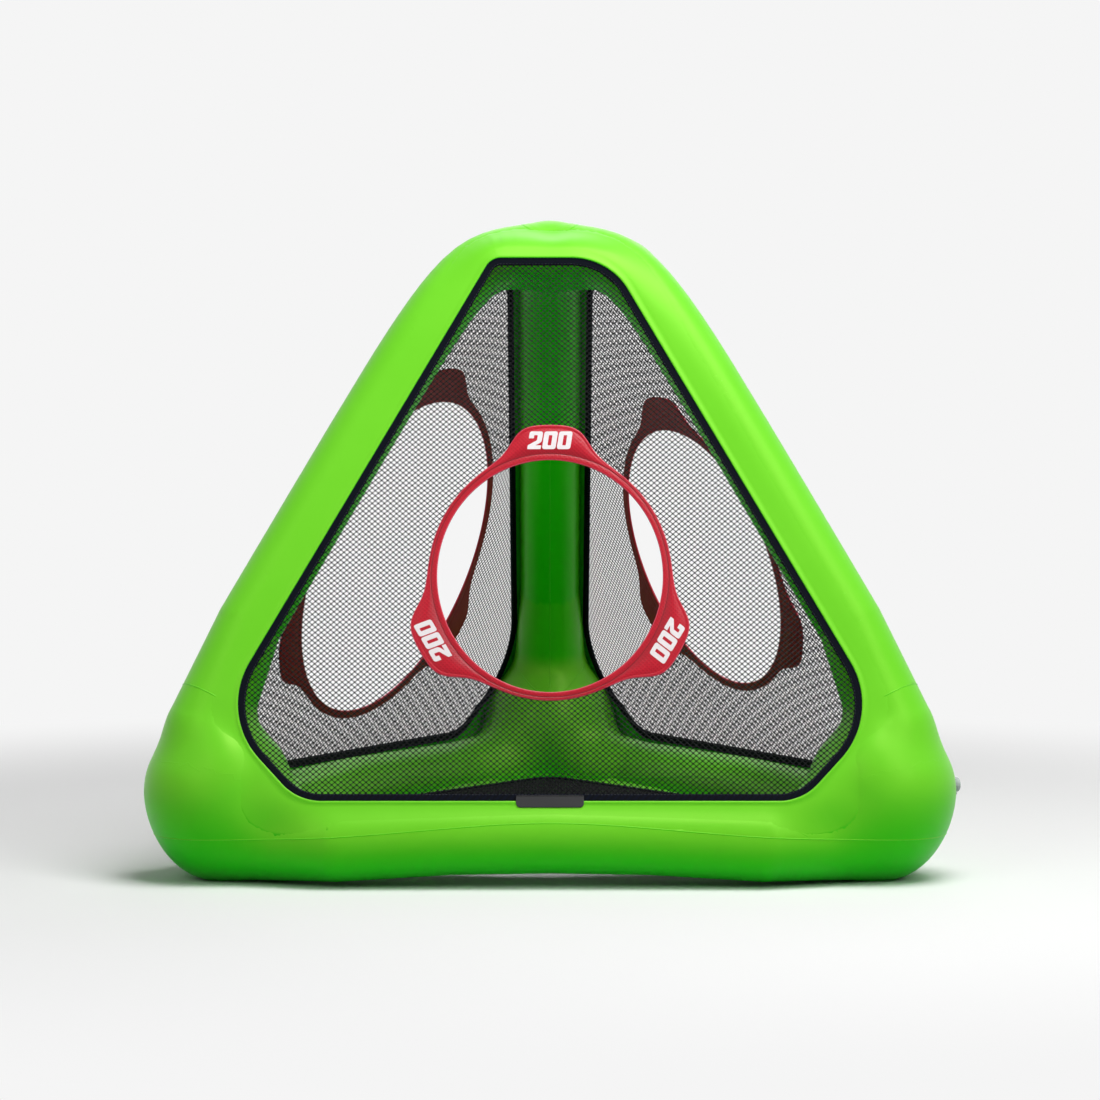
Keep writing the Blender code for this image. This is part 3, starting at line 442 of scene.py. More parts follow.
def loft(rows, ends_meet=True):
    """A mesh through equal closed sections, an array of rows of points."""
    count, corners = rows.shape[:2]
    first = np.arange(count if ends_meet else count - 1)[:, None] * corners
    second = (first + corners) % (count * corners)
    here = np.arange(corners)[None]
    beside = (here + 1) % corners
    quads = np.stack([first + here, first + beside, second + beside, second + here], axis=-1)
    faces = [tuple(quad) for quad in quads.reshape(-1, 4).tolist()]
    if not ends_meet:
        faces.append(tuple(range(corners)))
        faces.append(tuple(reversed(range((count - 1) * corners, count * corners))))
    mesh = bpy.data.meshes.new("loft")
    mesh.from_pydata(rows.reshape(-1, 3).tolist(), [], faces)
    work = bmesh.new()
    work.from_mesh(mesh)
    bmesh.ops.recalc_face_normals(work, faces=work.faces)
    work.to_mesh(mesh)
    work.free()
    mesh.shade_smooth()
    return mesh


def tube_mesh(line, radius, ends_meet, corners=BEAD_CORNERS, up=(0, 0, 1)):
    """A round tube along a line of points. The line never runs along up."""
    line = np.asarray(line, float)
    if ends_meet:
        along = np.roll(line, -1, axis=0) - np.roll(line, 1, axis=0)
    else:
        along = np.gradient(line, axis=0)
    along /= np.linalg.norm(along, axis=1, keepdims=True)
    side = np.cross(along, np.asarray(up, float))
    side /= np.linalg.norm(side, axis=1, keepdims=True)
    over = np.cross(side, along)
    turns = np.linspace(0, 2 * math.pi, corners, endpoint=False)
    rows = [line + radius * (side * math.cos(turn) + over * math.sin(turn)) for turn in turns]
    return loft(np.stack(rows, axis=1), ends_meet)


def add_bead(name, line, ends_meet, up):
    line = onto_wall(np.asarray(line), -BEAD_SUNK)
    mesh = tube_mesh(line, BEAD_RADIUS, ends_meet, up=up)
    note_no_weld(mesh)
    add(name, mesh, green_film)


steps = int(2 * math.pi * CORNER_REACH / BEAD_STEP)
turns = np.linspace(0, 2 * math.pi, steps, endpoint=False)
rays = np.stack([np.cos(turns), np.sin(turns), np.zeros(steps)], axis=1)
for name, reach, way in (("outer", CORNER_WALL_REACH + LEG_RADIUS, -1), ("inner", LEG_RADIUS, 1)):
    starts = rays * reach + np.array(AXIS_PLACE)
    starts[:, 2] = seam_height(turns)
    add_bead(f"ground_seam_{name}", along_ray(starts, way * rays), True, (0, 0, 1))
for side, leg_turn in LEG_TURNS.items():
    middle = (WELD_REACH - LEG_RADIUS / 2, 0, WELD_HEIGHT + LEG_RADIUS * math.tan(WELD_LEAN) / -2)
    place = (Matrix.Translation(AXIS_PLACE) @ Matrix.Rotation(leg_turn, 4, "Z") @ Matrix.Translation(middle)
             @ Matrix.Rotation(-WELD_LEAN, 4, "Y"))
    steps = int(2 * math.pi * LEG_RADIUS / BEAD_STEP) * 2
    turns = np.linspace(0, 2 * math.pi, steps, endpoint=False)
    ways = np.array([place.to_3x3() @ Vector((math.cos(turn), math.sin(turn), 0)) for turn in turns])
    starts = np.repeat(np.array([place.translation]), steps, axis=0)
    add_bead(f"leg_weld_{side}", along_ray(starts, ways), True, place.col[2][:3])
    stations, _ = leg_line()
    stations = np.vstack([stations, 2 * stations[-1] - stations[-2]])
    runs = np.concatenate([[0], np.cumsum(np.linalg.norm(np.diff(stations, axis=0), axis=1))])
    foot = np.interp(WELD_REACH, stations[:, 0], runs) + LEG_WELD_BELOW
    marks = np.arange(NECK_REACH, foot, BEAD_STEP)
    middle = np.stack([np.interp(marks, runs, stations[:, k]) for k in range(3)], axis=1)
    along = np.gradient(middle, axis=0)
    inward = np.stack([along[:, 2], along[:, 1], -along[:, 0]], axis=1)
    inward /= np.linalg.norm(inward, axis=1, keepdims=True)
    turned = np.array(Matrix.Rotation(leg_turn, 3, "Z"))
    starts = middle @ turned.T + np.array(AXIS_PLACE)
    line = along_ray(starts, inward @ turned.T)
    add_bead(f"leg_seam_{side}", line, False, np.array([-math.sin(leg_turn), math.cos(leg_turn), 0]))

# Crown patch: a disc of the same film, welded over the point where the three legs meet. A second,
# finer weld runs round inside its edge.
PATCH_RADIUS = 0.033
PATCH_FORWARD = 0.012
PATCH_PROUD = 0.0006
PATCH_WELD_INSET = 0.005
PATCH_RIM_SHARE = 0.55
CREASE = math.radians(50)
PATCH_STEPS = 72
PATCH_RINGS = 14
crown_height = AXIS_PLACE.z + leg_line()[0][0][2] + 2 * CROWN_RADIUS
reaches = PATCH_RADIUS * np.linspace(0, 1, PATCH_RINGS + 1)[1:]
turns = np.linspace(0, 2 * math.pi, PATCH_STEPS, endpoint=False)
rings = [[(0, 0, 0)] * PATCH_STEPS] + [[(reach * math.cos(turn), reach * math.sin(turn), 0)
                                        for turn in turns] for reach in reaches]
disc = np.array(rings).reshape(-1, 3) + np.array([0, AXIS_PLACE.y - PATCH_FORWARD, crown_height])
disc = along_ray(disc, np.array([[0, 0, -1.0]]))
lift = np.full((PATCH_RINGS + 1, PATCH_STEPS), PATCH_PROUD)
weld_ring = np.argmin(np.abs(reaches - (PATCH_RADIUS - PATCH_WELD_INSET))) + 1
lift[weld_ring] -= PATCH_PROUD / 2
lift[-1] = PATCH_PROUD * PATCH_RIM_SHARE
disc = disc + lift.reshape(-1, 1) * wall_normal(disc)
skirt = disc[-PATCH_STEPS:] - 2 * PATCH_PROUD * wall_normal(disc[-PATCH_STEPS:])
disc = np.vstack([disc, skirt])
faces = []
for ring in range(PATCH_RINGS + 1):
    for step in range(PATCH_STEPS):
        beside = (step + 1) % PATCH_STEPS
        low, high = ring * PATCH_STEPS, (ring + 1) * PATCH_STEPS
        faces.append((low + step, high + step, high + beside, low + beside))
patch = bpy.data.meshes.new("crown_patch")
patch.from_pydata(disc.tolist(), [], faces)
work = bmesh.new()
work.from_mesh(patch)
bmesh.ops.remove_doubles(work, verts=work.verts, dist=MERGE)
bmesh.ops.recalc_face_normals(work, faces=work.faces)
work.to_mesh(patch)
work.free()
if patch.polygons[0].normal.z < 0:
    patch.flip_normals()
patch.shade_smooth()
patch.set_sharp_from_angle(angle=CREASE)
note_no_weld(patch)
add("crown_patch", patch, green_film, stands_for=["apex_patch"])

# Outlines of the four panels. A side panel is a tall triangle with its corners cut off and
# rounded, lying on its leaning side of the frame, and the base panel is a rounded triangle with
# bowed sides. Everything sewn or welded to a panel follows its outline.
PANEL_BOTTOM = 0.1035
PANEL_TOP = 0.731
PANEL_TOP_HALF_WIDTH = 0.0675
PANEL_SIDE_SLOPE_SHARE = 0.5628
PANEL_CHAMFER_HALF_WIDTH = 0.2755
PANEL_CHAMFER_RISE = 0.0985
PANEL_FOOT_FILLET = 0.060
PANEL_KNEE_FILLET = 0.095
PANEL_TOP_LEFT_FILLET = 0.022
PANEL_TOP_RIGHT_FILLET = 0.075
BASE_NET_HEIGHT = 0.055
BASE_CORNER_REACH = 0.3434
BASE_SIDE_REACH = 0.218
BASE_CORNER_FILLET = 0.031
BASE_SIDE_FILLET = 0.30
FILLET_STEPS = 22
OUTLINE_STEP = 0.006


def round_corners(corners, fillets):
    """Points along a rounded outline, anticlockwise: a fillet's centre, its radius, a direction."""
    arcs = []
    for i, (corner, fillet) in enumerate(zip(corners, fillets)):
        here = Vector(corner)
        before = (here - Vector(corners[i - 1])).normalized()
        after = (Vector(corners[(i + 1) % len(corners)]) - here).normalized()
        start = math.atan2(-before.x, before.y)
        turn = math.atan2(before.cross(after), before.dot(after))
        middle = start + turn / 2
        centre = here - fillet / math.cos(turn / 2) * Vector((math.cos(middle), math.sin(middle)))
        arcs.append((centre, fillet, start, turn))
    points = []
    for i, (centre, fillet, start, turn) in enumerate(arcs):
        shares = np.linspace(0, 1, FILLET_STEPS)
        points.extend((centre, fillet, start + turn * share) for share in shares)
        following, next_fillet = arcs[(i + 1) % len(arcs)][:2]
        runs = math.ceil((following - centre).length / OUTLINE_STEP)
        for share in (run / runs for run in range(1, runs)):
            points.append((centre.lerp(following, share), fillet + (next_fillet - fillet) * share,
                           start + turn))
    return points


def outline_parts(outline, offset=0):
    """The outline moved outwards by an offset, its outward directions, and the run along it."""
    turns = np.array([turn for _, _, turn in outline])
    ways = np.stack([np.cos(turns), np.sin(turns)], axis=1)
    radii = np.array([radius for _, radius, _ in outline])
    spots = np.array([centre for centre, _, _ in outline]) + (radii + offset)[:, None] * ways
    steps = np.linalg.norm(spots - np.roll(spots, 1, axis=0), axis=1)
    steps[0] = 0
    return spots, ways, np.cumsum(steps)


def at_height(spots, height=0):
    """Points of a flat outline, all at one height over their panel."""
    return np.concatenate([spots, np.full((len(spots), 1), height)], axis=1)


knee_rise = PANEL_TOP - PANEL_BOTTOM - PANEL_CHAMFER_RISE
knee_half_width = PANEL_TOP_HALF_WIDTH + knee_rise * PANEL_SIDE_SLOPE_SHARE
side_outline = round_corners(
    [(-PANEL_CHAMFER_HALF_WIDTH, PANEL_BOTTOM), (PANEL_CHAMFER_HALF_WIDTH, PANEL_BOTTOM),
     (knee_half_width, PANEL_BOTTOM + PANEL_CHAMFER_RISE), (PANEL_TOP_HALF_WIDTH, PANEL_TOP),
     (-PANEL_TOP_HALF_WIDTH, PANEL_TOP), (-knee_half_width, PANEL_BOTTOM + PANEL_CHAMFER_RISE)],
    [PANEL_FOOT_FILLET, PANEL_FOOT_FILLET, PANEL_KNEE_FILLET, PANEL_TOP_RIGHT_FILLET,
     PANEL_TOP_LEFT_FILLET, PANEL_KNEE_FILLET])
base_reaches = [BASE_CORNER_REACH, BASE_SIDE_REACH] * SIDES
base_outline = round_corners(
    [(reach * math.cos(k * SECTOR / 2 - math.pi / 2), reach * math.sin(k * SECTOR / 2 - math.pi / 2))
     for k, reach in enumerate(base_reaches)], [BASE_CORNER_FILLET, BASE_SIDE_FILLET] * SIDES)
panel_places = {side: Matrix.Translation(AXIS_PLACE) @ Matrix.Rotation(turn, 4, "Z")
                @ Matrix.Translation((0, -PANEL_FOOT_REACH, 0))
                @ Matrix.Rotation(math.pi / 2 - PANEL_LEAN, 4, "X") for side, turn in SIDE_TURNS.items()}
panel_places["base"] = (Matrix.Translation(AXIS_PLACE) @ Matrix.Translation((0, 0, BASE_NET_HEIGHT))
                        @ Matrix.Rotation(math.pi, 4, "X"))
panel_outlines = {side: side_outline for side in SIDE_TURNS}
panel_outlines["base"] = base_outline

# Strips: a band of green film joins each panel to the tubes. Its inner edge laps over the panel's
# tape with a folded lip that catches the light, and it runs out flush into the tubes' skin.
NET_THICKNESS = 0.0010
LAYER_GAP = 0.0003
TAPE_THICKNESS = 0.0008
TAPE_LAP = 0.0020
STRIP_THICKNESS = 0.0010
LIP_WIDTH = 0.0034
STRIP_REACH = 0.060
STRIP_DIP = math.radians(60)
STRIP_LANDING = 0.014
STRIP_SUNK = 0.0002
REACH_STEPS = 48
DIP_STEPS = 20
STRIP_CURVE_STEPS = 9
STRIP_EVEN_STATIONS = 5
strip_level = NET_THICKNESS / 2 + TAPE_THICKNESS + 2 * LAYER_GAP + STRIP_THICKNESS


def in_row(points, place):
    turned = np.array(place)
    return points @ turned[:3, :3].T + turned[:3, 3]


def strip_landings(lip, ways, place):
    """Where a strip meets the tubes' wall, dipping behind the panel no more than it needs to."""
    dips = np.linspace(0, STRIP_DIP, DIP_STEPS)
    reaches = np.linspace(0, STRIP_REACH, REACH_STEPS)
    flat = at_height(ways)
    along = (flat[:, None] * np.cos(dips)[None, :, None]
             - np.array([0, 0, 1])[None, None] * np.sin(dips)[None, :, None])
    grid = lip[:, None, None] + along[:, :, None] * reaches[None, None, :, None]
    gaps = wall_distance(in_row(grid.reshape(-1, 3), place)).reshape(grid.shape[:3])
    met = gaps < 0
    dip = np.argmax(met.any(axis=2), axis=1)
    stations = np.arange(len(lip))
    reach = reaches[np.argmax(met[stations, dip], axis=1)]
    landed = lip + along[stations, dip] * (reach + STRIP_LANDING)[:, None]
    count = STRIP_EVEN_STATIONS
    return sum(np.roll(landed, shift, axis=0) for shift in range(-count, count + 1)) / (2 * count + 1)


def strip_mesh(outline, place):
    back = np.linalg.inv(np.array(place))
    spots, ways, _ = outline_parts(outline)
    flat = at_height(ways)
    level = np.array([0, 0, 1.0])

    def at(offset, height):
        return at_height(spots) + flat * offset + level * height
    lip = at(LIP_WIDTH - TAPE_LAP, strip_level)
    landed = onto_wall(in_row(strip_landings(lip, ways, place), place), -STRIP_SUNK)
    normals = wall_normal(landed) @ np.array(place)[:3, :3]
    landed = landed @ back[:3, :3].T + back[:3, 3]
    chord = landed - lip
    length = np.linalg.norm(chord, axis=1, keepdims=True)
    arriving = chord - (chord * normals).sum(axis=1, keepdims=True) * normals
    arriving /= np.linalg.norm(arriving, axis=1, keepdims=True)
    handles = lip, lip + flat * length / 3, landed - arriving * length / 3, landed
    shares = np.linspace(0, 1, STRIP_CURVE_STEPS)[1:]
    curve = [sum(handle * math.comb(3, k) * share ** k * (1 - share) ** (3 - k)
                 for k, handle in enumerate(handles)) for share in shares]
    bulge = STRIP_THICKNESS / 4
    front = [at(-TAPE_LAP + bulge, strip_level - STRIP_THICKNESS + bulge / 2),
             at(-TAPE_LAP - bulge / 2, strip_level - STRIP_THICKNESS / 2),
             at(-TAPE_LAP + bulge, strip_level + bulge / 2),
             at(-TAPE_LAP + LIP_WIDTH / 3, strip_level + bulge),
             at(-TAPE_LAP + LIP_WIDTH * 0.8, strip_level + bulge), *[lip - level * bulge], *curve]
    under = [row - level * STRIP_THICKNESS for row in reversed([lip - level * bulge, *curve])]
    rows = np.stack([*front, *under], axis=1)
    return loft(rows)


side_strip = strip_mesh(side_outline, panel_places["front"])
strips = {side: side_strip for side in SIDE_TURNS}
strips["base"] = strip_mesh(base_outline, panel_places["base"])
for mesh in (side_strip, strips["base"]):
    note_no_weld(mesh)
for side, mesh in strips.items():
    add(f"{side}_film_strip", mesh, green_film, stands_for=[f"{side}_strip"],
        place=panel_places[side])

# Nets: knitted polyester mesh, stretched flat. Round black yarns run slantwise both ways across a
# panel and are knitted together at every crossing, which leaves diamond cells 6.8 mm wide.
CELL_WIDTH = 0.0068
CELL_HEIGHT = 0.0059
YARN_RADIUS = 0.00045
YARN_CORNERS = 6
KNOT_HALF_WIDTH = 0.00115
KNOT_HALF_HEIGHT = 0.00105
KNOT_HALF_DEPTH = 0.00065
YARN_BLACK = "#101013"
YARN_WORN = "#1a1a1e"
YARN_SHEEN = "#8a8a96"
YARN_TWIST = 0.0009
RING_CENTRE_HEIGHT = 0.360
RING_RADII = {"front": 0.1245, "right": 0.149, "left": 0.182}
RING_TALL_SHARE = 1.064
RING_BAND = 0.0095
TAPE_WIDTH = 0.0100
NET_INSET = TAPE_WIDTH / 3
HEM_INSETS = (TAPE_WIDTH * 0.9, TAPE_WIDTH / 8)


def yarn_material():
    made, tree = new_tree("knitted_black_polyester")
    place = node(tree, "TexCoord", gives="Object")
    twist = node(tree, "TexNoise", {"Vector": place, "Scale": 1 / YARN_TWIST, "Detail": 2})
    colour = node(tree, "MixRGB", {"Fac": twist, "Color1": linear(YARN_BLACK), "Color2": linear(YARN_WORN)})
    bump = node(tree, "Bump", {"Height": twist, "Distance": YARN_RADIUS / 2, "Strength": 0.6})
    surface = node(tree, "BsdfPrincipled", {
        "Base Color": colour, "Roughness": 0.62, "IOR": 1.5, "Specular IOR Level": 0.15,
        "Sheen Weight": 0.04, "Sheen Roughness": 0.5, "Sheen Tint": linear(YARN_SHEEN), "Normal": bump})
    node(tree, "OutputMaterial", {"Surface": surface})
    return made


def yarn_runs(outline, hole):
    """Straight runs of yarn, both ways, clipped to the panel and cut out over the target's hole."""
    edge, ways, _ = outline_parts(outline, -NET_INSET)
    count = math.ceil((np.abs(edge) @ [1 / CELL_WIDTH, 1 / CELL_HEIGHT]).max())
    runs = []
    for slope in (1, -1):
        way = np.array([CELL_WIDTH, slope * CELL_HEIGHT]) / math.hypot(CELL_WIDTH, CELL_HEIGHT)
        for k in range(-count, count + 1):
            start = np.array([k * CELL_WIDTH, 0])
            inside = ways @ way
            room = ((edge - start) * ways).sum(axis=1)
            with np.errstate(divide="ignore", invalid="ignore"):
                met = room / inside
            low = np.max(met[inside < 0], initial=-np.inf)
            high = np.min(met[inside > 0], initial=np.inf)
            if low >= high or (room[np.abs(inside) < MERGE] < 0).any():
                continue
            pieces = [(low, high)]
            if hole:
                tall = np.array([1, 1 / RING_TALL_SHARE])
                a, b = way * tall, (start - hole[0]) * tall
                half = (a @ b) ** 2 - (a @ a) * (b @ b - hole[1] ** 2)
                if half > 0:
                    near, far = ((-(a @ b) + sign * math.sqrt(half)) / (a @ a) for sign in (-1, 1))
                    pieces = [(low, min(near, high)), (max(far, low), high)]
            runs.extend((start + way * a, start + way * b) for a, b in pieces if b - a > CELL_HEIGHT)
    return runs


def knot_places(outline, hole):
    """The crossings of the yarns that lie in the panel and off the target's hole."""
    edge, ways, _ = outline_parts(outline, -NET_INSET)
    half = np.array([CELL_WIDTH, CELL_HEIGHT]) / 2
    count = math.ceil(np.abs(edge).max() / half.min())
    i, j = np.meshgrid(np.arange(-count, count + 1), np.arange(-count, count + 1))
    spots = np.stack([i, j], axis=-1)[(i + j) % 2 == 0] * half
    kept = np.array([((edge - spot) * ways).sum(axis=1).min() > 0 for spot in spots])
    if hole:
        kept &= (((spots - hole[0]) * [1, 1 / RING_TALL_SHARE]) ** 2).sum(axis=1) > hole[1] ** 2
    return spots[kept]


def lozenges(spots, axes):
    """Many small eight-faced beads in one list: three half axes for each of the spots."""
    count = len(spots)
    points = np.stack([spots + sign * axis for axis in axes for sign in (1, -1)], axis=1)
    sides = [(a, b, c) if (a + b + c) % 2 == 0 else (a, c, b) for a in (0, 1) for b in (2, 3) for c in (4, 5)]
    faces = np.array(sides)[None] + 6 * np.arange(count)[:, None, None]
    return points.reshape(-1, 3), faces.reshape(-1, 3)


def net_mesh(outline, hole):
    runs = np.array(yarn_runs(outline, hole))
    starts, ends = at_height(runs[:, 0]), at_height(runs[:, 1])
    way = ends - starts
    way /= np.linalg.norm(way, axis=1, keepdims=True)
    side = np.cross(way, [0, 0, 1.0])
    turns = np.linspace(0, 2 * math.pi, YARN_CORNERS, endpoint=False)
    around = [YARN_RADIUS * (side * math.cos(turn) + np.array([0, 0, math.sin(turn)])) for turn in turns]
    points = np.stack([spot + bend for spot in (starts, ends) for bend in around], axis=1)
    faces = []
    for run in range(len(runs)):
        first = run * 2 * YARN_CORNERS
        last = first + YARN_CORNERS
        for here in range(YARN_CORNERS):
            beside = (here + 1) % YARN_CORNERS
            faces.append((first + here, last + here, last + beside, first + beside))
        faces.append(tuple(range(first, last)))
        faces.append(tuple(reversed(range(last, last + YARN_CORNERS))))
    knots = at_height(knot_places(outline, hole))
    beads, bead_faces = lozenges(knots, np.diag([KNOT_HALF_WIDTH, KNOT_HALF_HEIGHT, KNOT_HALF_DEPTH]))
    faces.extend(map(tuple, (bead_faces + points.shape[0] * points.shape[1]).tolist()))
    inner, outer = HEM_INSETS
    hem = loft(np.stack([at_height(outline_parts(outline, -inset)[0], height)
                         for inset, height in ((inner, -YARN_RADIUS), (inner, YARN_RADIUS),
                                               (outer, YARN_RADIUS), (outer, -YARN_RADIUS))], axis=1))
    mesh = bpy.data.meshes.new("net")
    mesh.from_pydata(np.concatenate([points.reshape(-1, 3), beads]).tolist(), [], faces)
    work = bmesh.new()
    work.from_mesh(mesh)
    work.from_mesh(hem)
    work.to_mesh(mesh)
    work.free()
    mesh.shade_smooth()
    return mesh


black_yarn = yarn_material()
for side, outline in panel_outlines.items():
    hole = None
    if side in RING_RADII:
        hole = np.array([0, RING_CENTRE_HEIGHT]), RING_RADII[side] + RING_BAND / 2
    add(f"{side}_mesh", net_mesh(outline, hole), black_yarn,
                     stands_for=[f"{side}_net"], place=panel_places[side])

# Binding tape: woven navy polyester ribbon, 22 mm wide, folded in half over the net's edge and
# sewn through with two rows of stitches. Its ribs run across it.
TAPE_NAVY = "#0b1224"
TAPE_BLACK = "#04060c"
TAPE_SHEEN = "#38405e"
RIB_PITCH = 0.0012
STITCH_PITCH = 0.0036
STITCH_LENGTH = 0.0028
STITCH_HALF_WIDTH = 0.00032
STITCH_INSETS = (0.0022, 0.0092)
THREAD_NAVY = "#131a2e"


def tape_material():
    made, tree = new_tree("woven_navy_polyester")
    run = node(tree, "Attribute", gives="Fac", attribute_name="run")
    across = node(tree, "Attribute", gives="Fac", attribute_name="across")
    # The real rib is half as wide. It is drawn this coarse so that it shows.
    spot = node(tree, "CombineXYZ", {"X": run, "Y": across})
    ribs = node(tree, "TexWave", {"Vector": spot, "Scale": 1 / RIB_PITCH / 20, "Distortion": 0.4,
                                  "Detail": 1}, gives="Fac", wave_type="BANDS", bands_direction="X")
    threads = node(tree, "TexNoise", {"Vector": spot, "Scale": 1 / RIB_PITCH, "Detail": 2})
    weave = node(tree, "Math", {0: ribs, 1: threads}, operation="MULTIPLY")
    colour = node(tree, "MixRGB", {"Fac": weave, "Color1": linear(TAPE_BLACK), "Color2": linear(TAPE_NAVY)})
    bump = node(tree, "Bump", {"Height": weave, "Distance": RIB_PITCH / 5, "Strength": 0.7})
    surface = node(tree, "BsdfPrincipled", {
        "Base Color": colour, "Roughness": 0.75, "IOR": 1.5, "Specular IOR Level": 0.08,
        "Sheen Weight": 0.04, "Sheen Roughness": 0.4, "Sheen Tint": linear(TAPE_SHEEN), "Normal": bump})
    node(tree, "OutputMaterial", {"Surface": surface})
    return made


def thread_material():
    made, tree = new_tree("navy_sewing_thread")
    place = node(tree, "TexCoord", gives="Object")
    twist = node(tree, "TexNoise", {"Vector": place, "Scale": 1 / STITCH_HALF_WIDTH, "Detail": 1})
    bump = node(tree, "Bump", {"Height": twist, "Distance": STITCH_HALF_WIDTH / 3, "Strength": 0.5})
    surface = node(tree, "BsdfPrincipled", {
        "Base Color": linear(THREAD_NAVY), "Roughness": 0.5, "IOR": 1.5, "Sheen Weight": 0.2,
        "Normal": bump})
    node(tree, "OutputMaterial", {"Surface": surface})
    return made


def tape_mesh(outline):
    inside = NET_THICKNESS / 2 + LAYER_GAP / 2
    outside = inside + TAPE_THICKNESS
    crown = outside + TAPE_THICKNESS / 5
    section = [(-TAPE_WIDTH, inside), (-TAPE_WIDTH - TAPE_THICKNESS / 4, (inside + outside) / 2),
               (-TAPE_WIDTH * 0.95, outside), (-TAPE_WIDTH * 0.7, crown), (-TAPE_WIDTH * 0.4, crown),
               (-TAPE_THICKNESS * 2, outside), (-TAPE_THICKNESS / 2, outside * 0.75), (0, 0)]
    section = section + [(offset, -height) for offset, height in reversed(section[:-1])]
    rows, across, runs = [], [], []
    for offset, height in section:
        spots, _, run = outline_parts(outline, offset)
        rows.append(at_height(spots, height))
        across.append(np.full(len(spots), offset))
        runs.append(run)
    mesh = loft(np.stack(rows, axis=1))
    note(mesh, "across", np.stack(across, axis=1).ravel())
    note(mesh, "run", np.stack(runs, axis=1).ravel())
    return mesh


def stitch_mesh(outline):
    """Two rows of stitches, on the tape's front and on its back."""
    spots, axes = [], [[], [], []]
    level = NET_THICKNESS / 2 + TAPE_THICKNESS + LAYER_GAP
    for inset in STITCH_INSETS:
        line, ways, run = outline_parts(outline, -inset)
        count = int(run[-1] / STITCH_PITCH)
        marks = (np.arange(count) + 0.5) * run[-1] / count
        middle = np.stack([np.interp(marks, run, line[:, k]) for k in range(2)], axis=1)
        out = np.stack([np.interp(marks, run, ways[:, k]) for k in range(2)], axis=1)
        for height in (level, -level):
            spots.append(at_height(middle, height))
            along = np.stack([-out[:, 1], out[:, 0]], axis=1)
            axes[0].append(at_height(along) * STITCH_LENGTH / 2)
            axes[1].append(at_height(out) * STITCH_HALF_WIDTH)
            axes[2].append(np.tile([0, 0, STITCH_HALF_WIDTH], (count, 1)))
    points, faces = lozenges(np.concatenate(spots), [np.concatenate(axis) for axis in axes])
    mesh = bpy.data.meshes.new("stitches")
    mesh.from_pydata(points.tolist(), [], faces.tolist())
    mesh.shade_smooth()
    return mesh


navy_tape = tape_material()
navy_thread = thread_material()
side_tape, side_stitches = tape_mesh(side_outline), stitch_mesh(side_outline)
tapes = {side: (side_tape, side_stitches) for side in SIDE_TURNS}
tapes["base"] = tape_mesh(base_outline), stitch_mesh(base_outline)
for side, (tape, stitches) in tapes.items():
    ribbon = add(f"{side}_binding", tape, navy_tape, stands_for=[f"{side}_tape"],
                 place=panel_places[side])
    sewn = add(f"{side}_stitches", stitches, navy_thread, place=panel_places[side])
    cut, _, _ = outline_parts(panel_outlines[side])
    width, length = cut.max(axis=0) - cut.min(axis=0)
    x, y = cut[:, 0], cut[:, 1]
    cut_area = abs(x @ np.roll(y, -1) - y @ np.roll(x, -1)) / 2
    if side in RING_RADII:
        cut_area -= math.pi * RING_RADII[side] ** 2 * RING_TALL_SHARE

# Target rings: red PVC film on the outside and a dark red film on the inside, pressed on both
# sides of the net round its hole, so that the net's diamonds show through as a faint emboss.
# A ring has three lobes with its points on them, a weld line inside each edge and a pale cut edge.
RING_LOBE = 0.0312
RING_FILM = 0.0008
LOBE_HALF_WIDTH = 0.0450
LOBE_SHOULDER_SHARE = 5
RING_STEPS = 480
EDGE_ROLL = 0.0012
HEM_LINE_INSET = 0.0070
HEM_LINE_SHARE = 0.62
RIM_LINE_INSET = 0.0042
RIM_LINE_SHARE = 0.16
LINE_HALF_WIDTH = 0.0005
EMBOSS_PITCH = 0.0032
RING_RED = "#cf0426"
RING_RED_DEEP = "#b00220"
RING_LINE = "#6c0212"
RING_EDGE_PINK = "#f0627e"
BACKING_RED = "#9c0412"
BACKING_RED_DEEP = "#7c020c"
RING_ROUGHNESS, BACKING_ROUGHNESS = 0.34, 0.5
RING_EMBOSS, BACKING_EMBOSS = 0.0003, 0.0002
RING_LINE_DEPTH_SHARE, BACKING_LINE_DEPTH_SHARE = 0.3, 0.1


def ring_rows(radius):
    """Where the ring's hole lies at each step, the way outwards, and the ring's width there."""
    turns = np.linspace(0, 2 * math.pi, RING_STEPS, endpoint=False)
    off = np.abs(np.mod(turns - math.pi / 2 + SECTOR / 2, SECTOR) - SECTOR / 2)
    off = off * (radius + RING_BAND + RING_LOBE / 2) / LOBE_HALF_WIDTH
    width = RING_BAND + RING_LOBE / (1 + off ** LOBE_SHOULDER_SHARE)
    inner = np.stack([radius * np.cos(turns), radius * RING_TALL_SHARE * np.sin(turns)], axis=1)
    ways = np.stack([np.cos(turns), np.sin(turns)], axis=1)
    return inner, ways, width


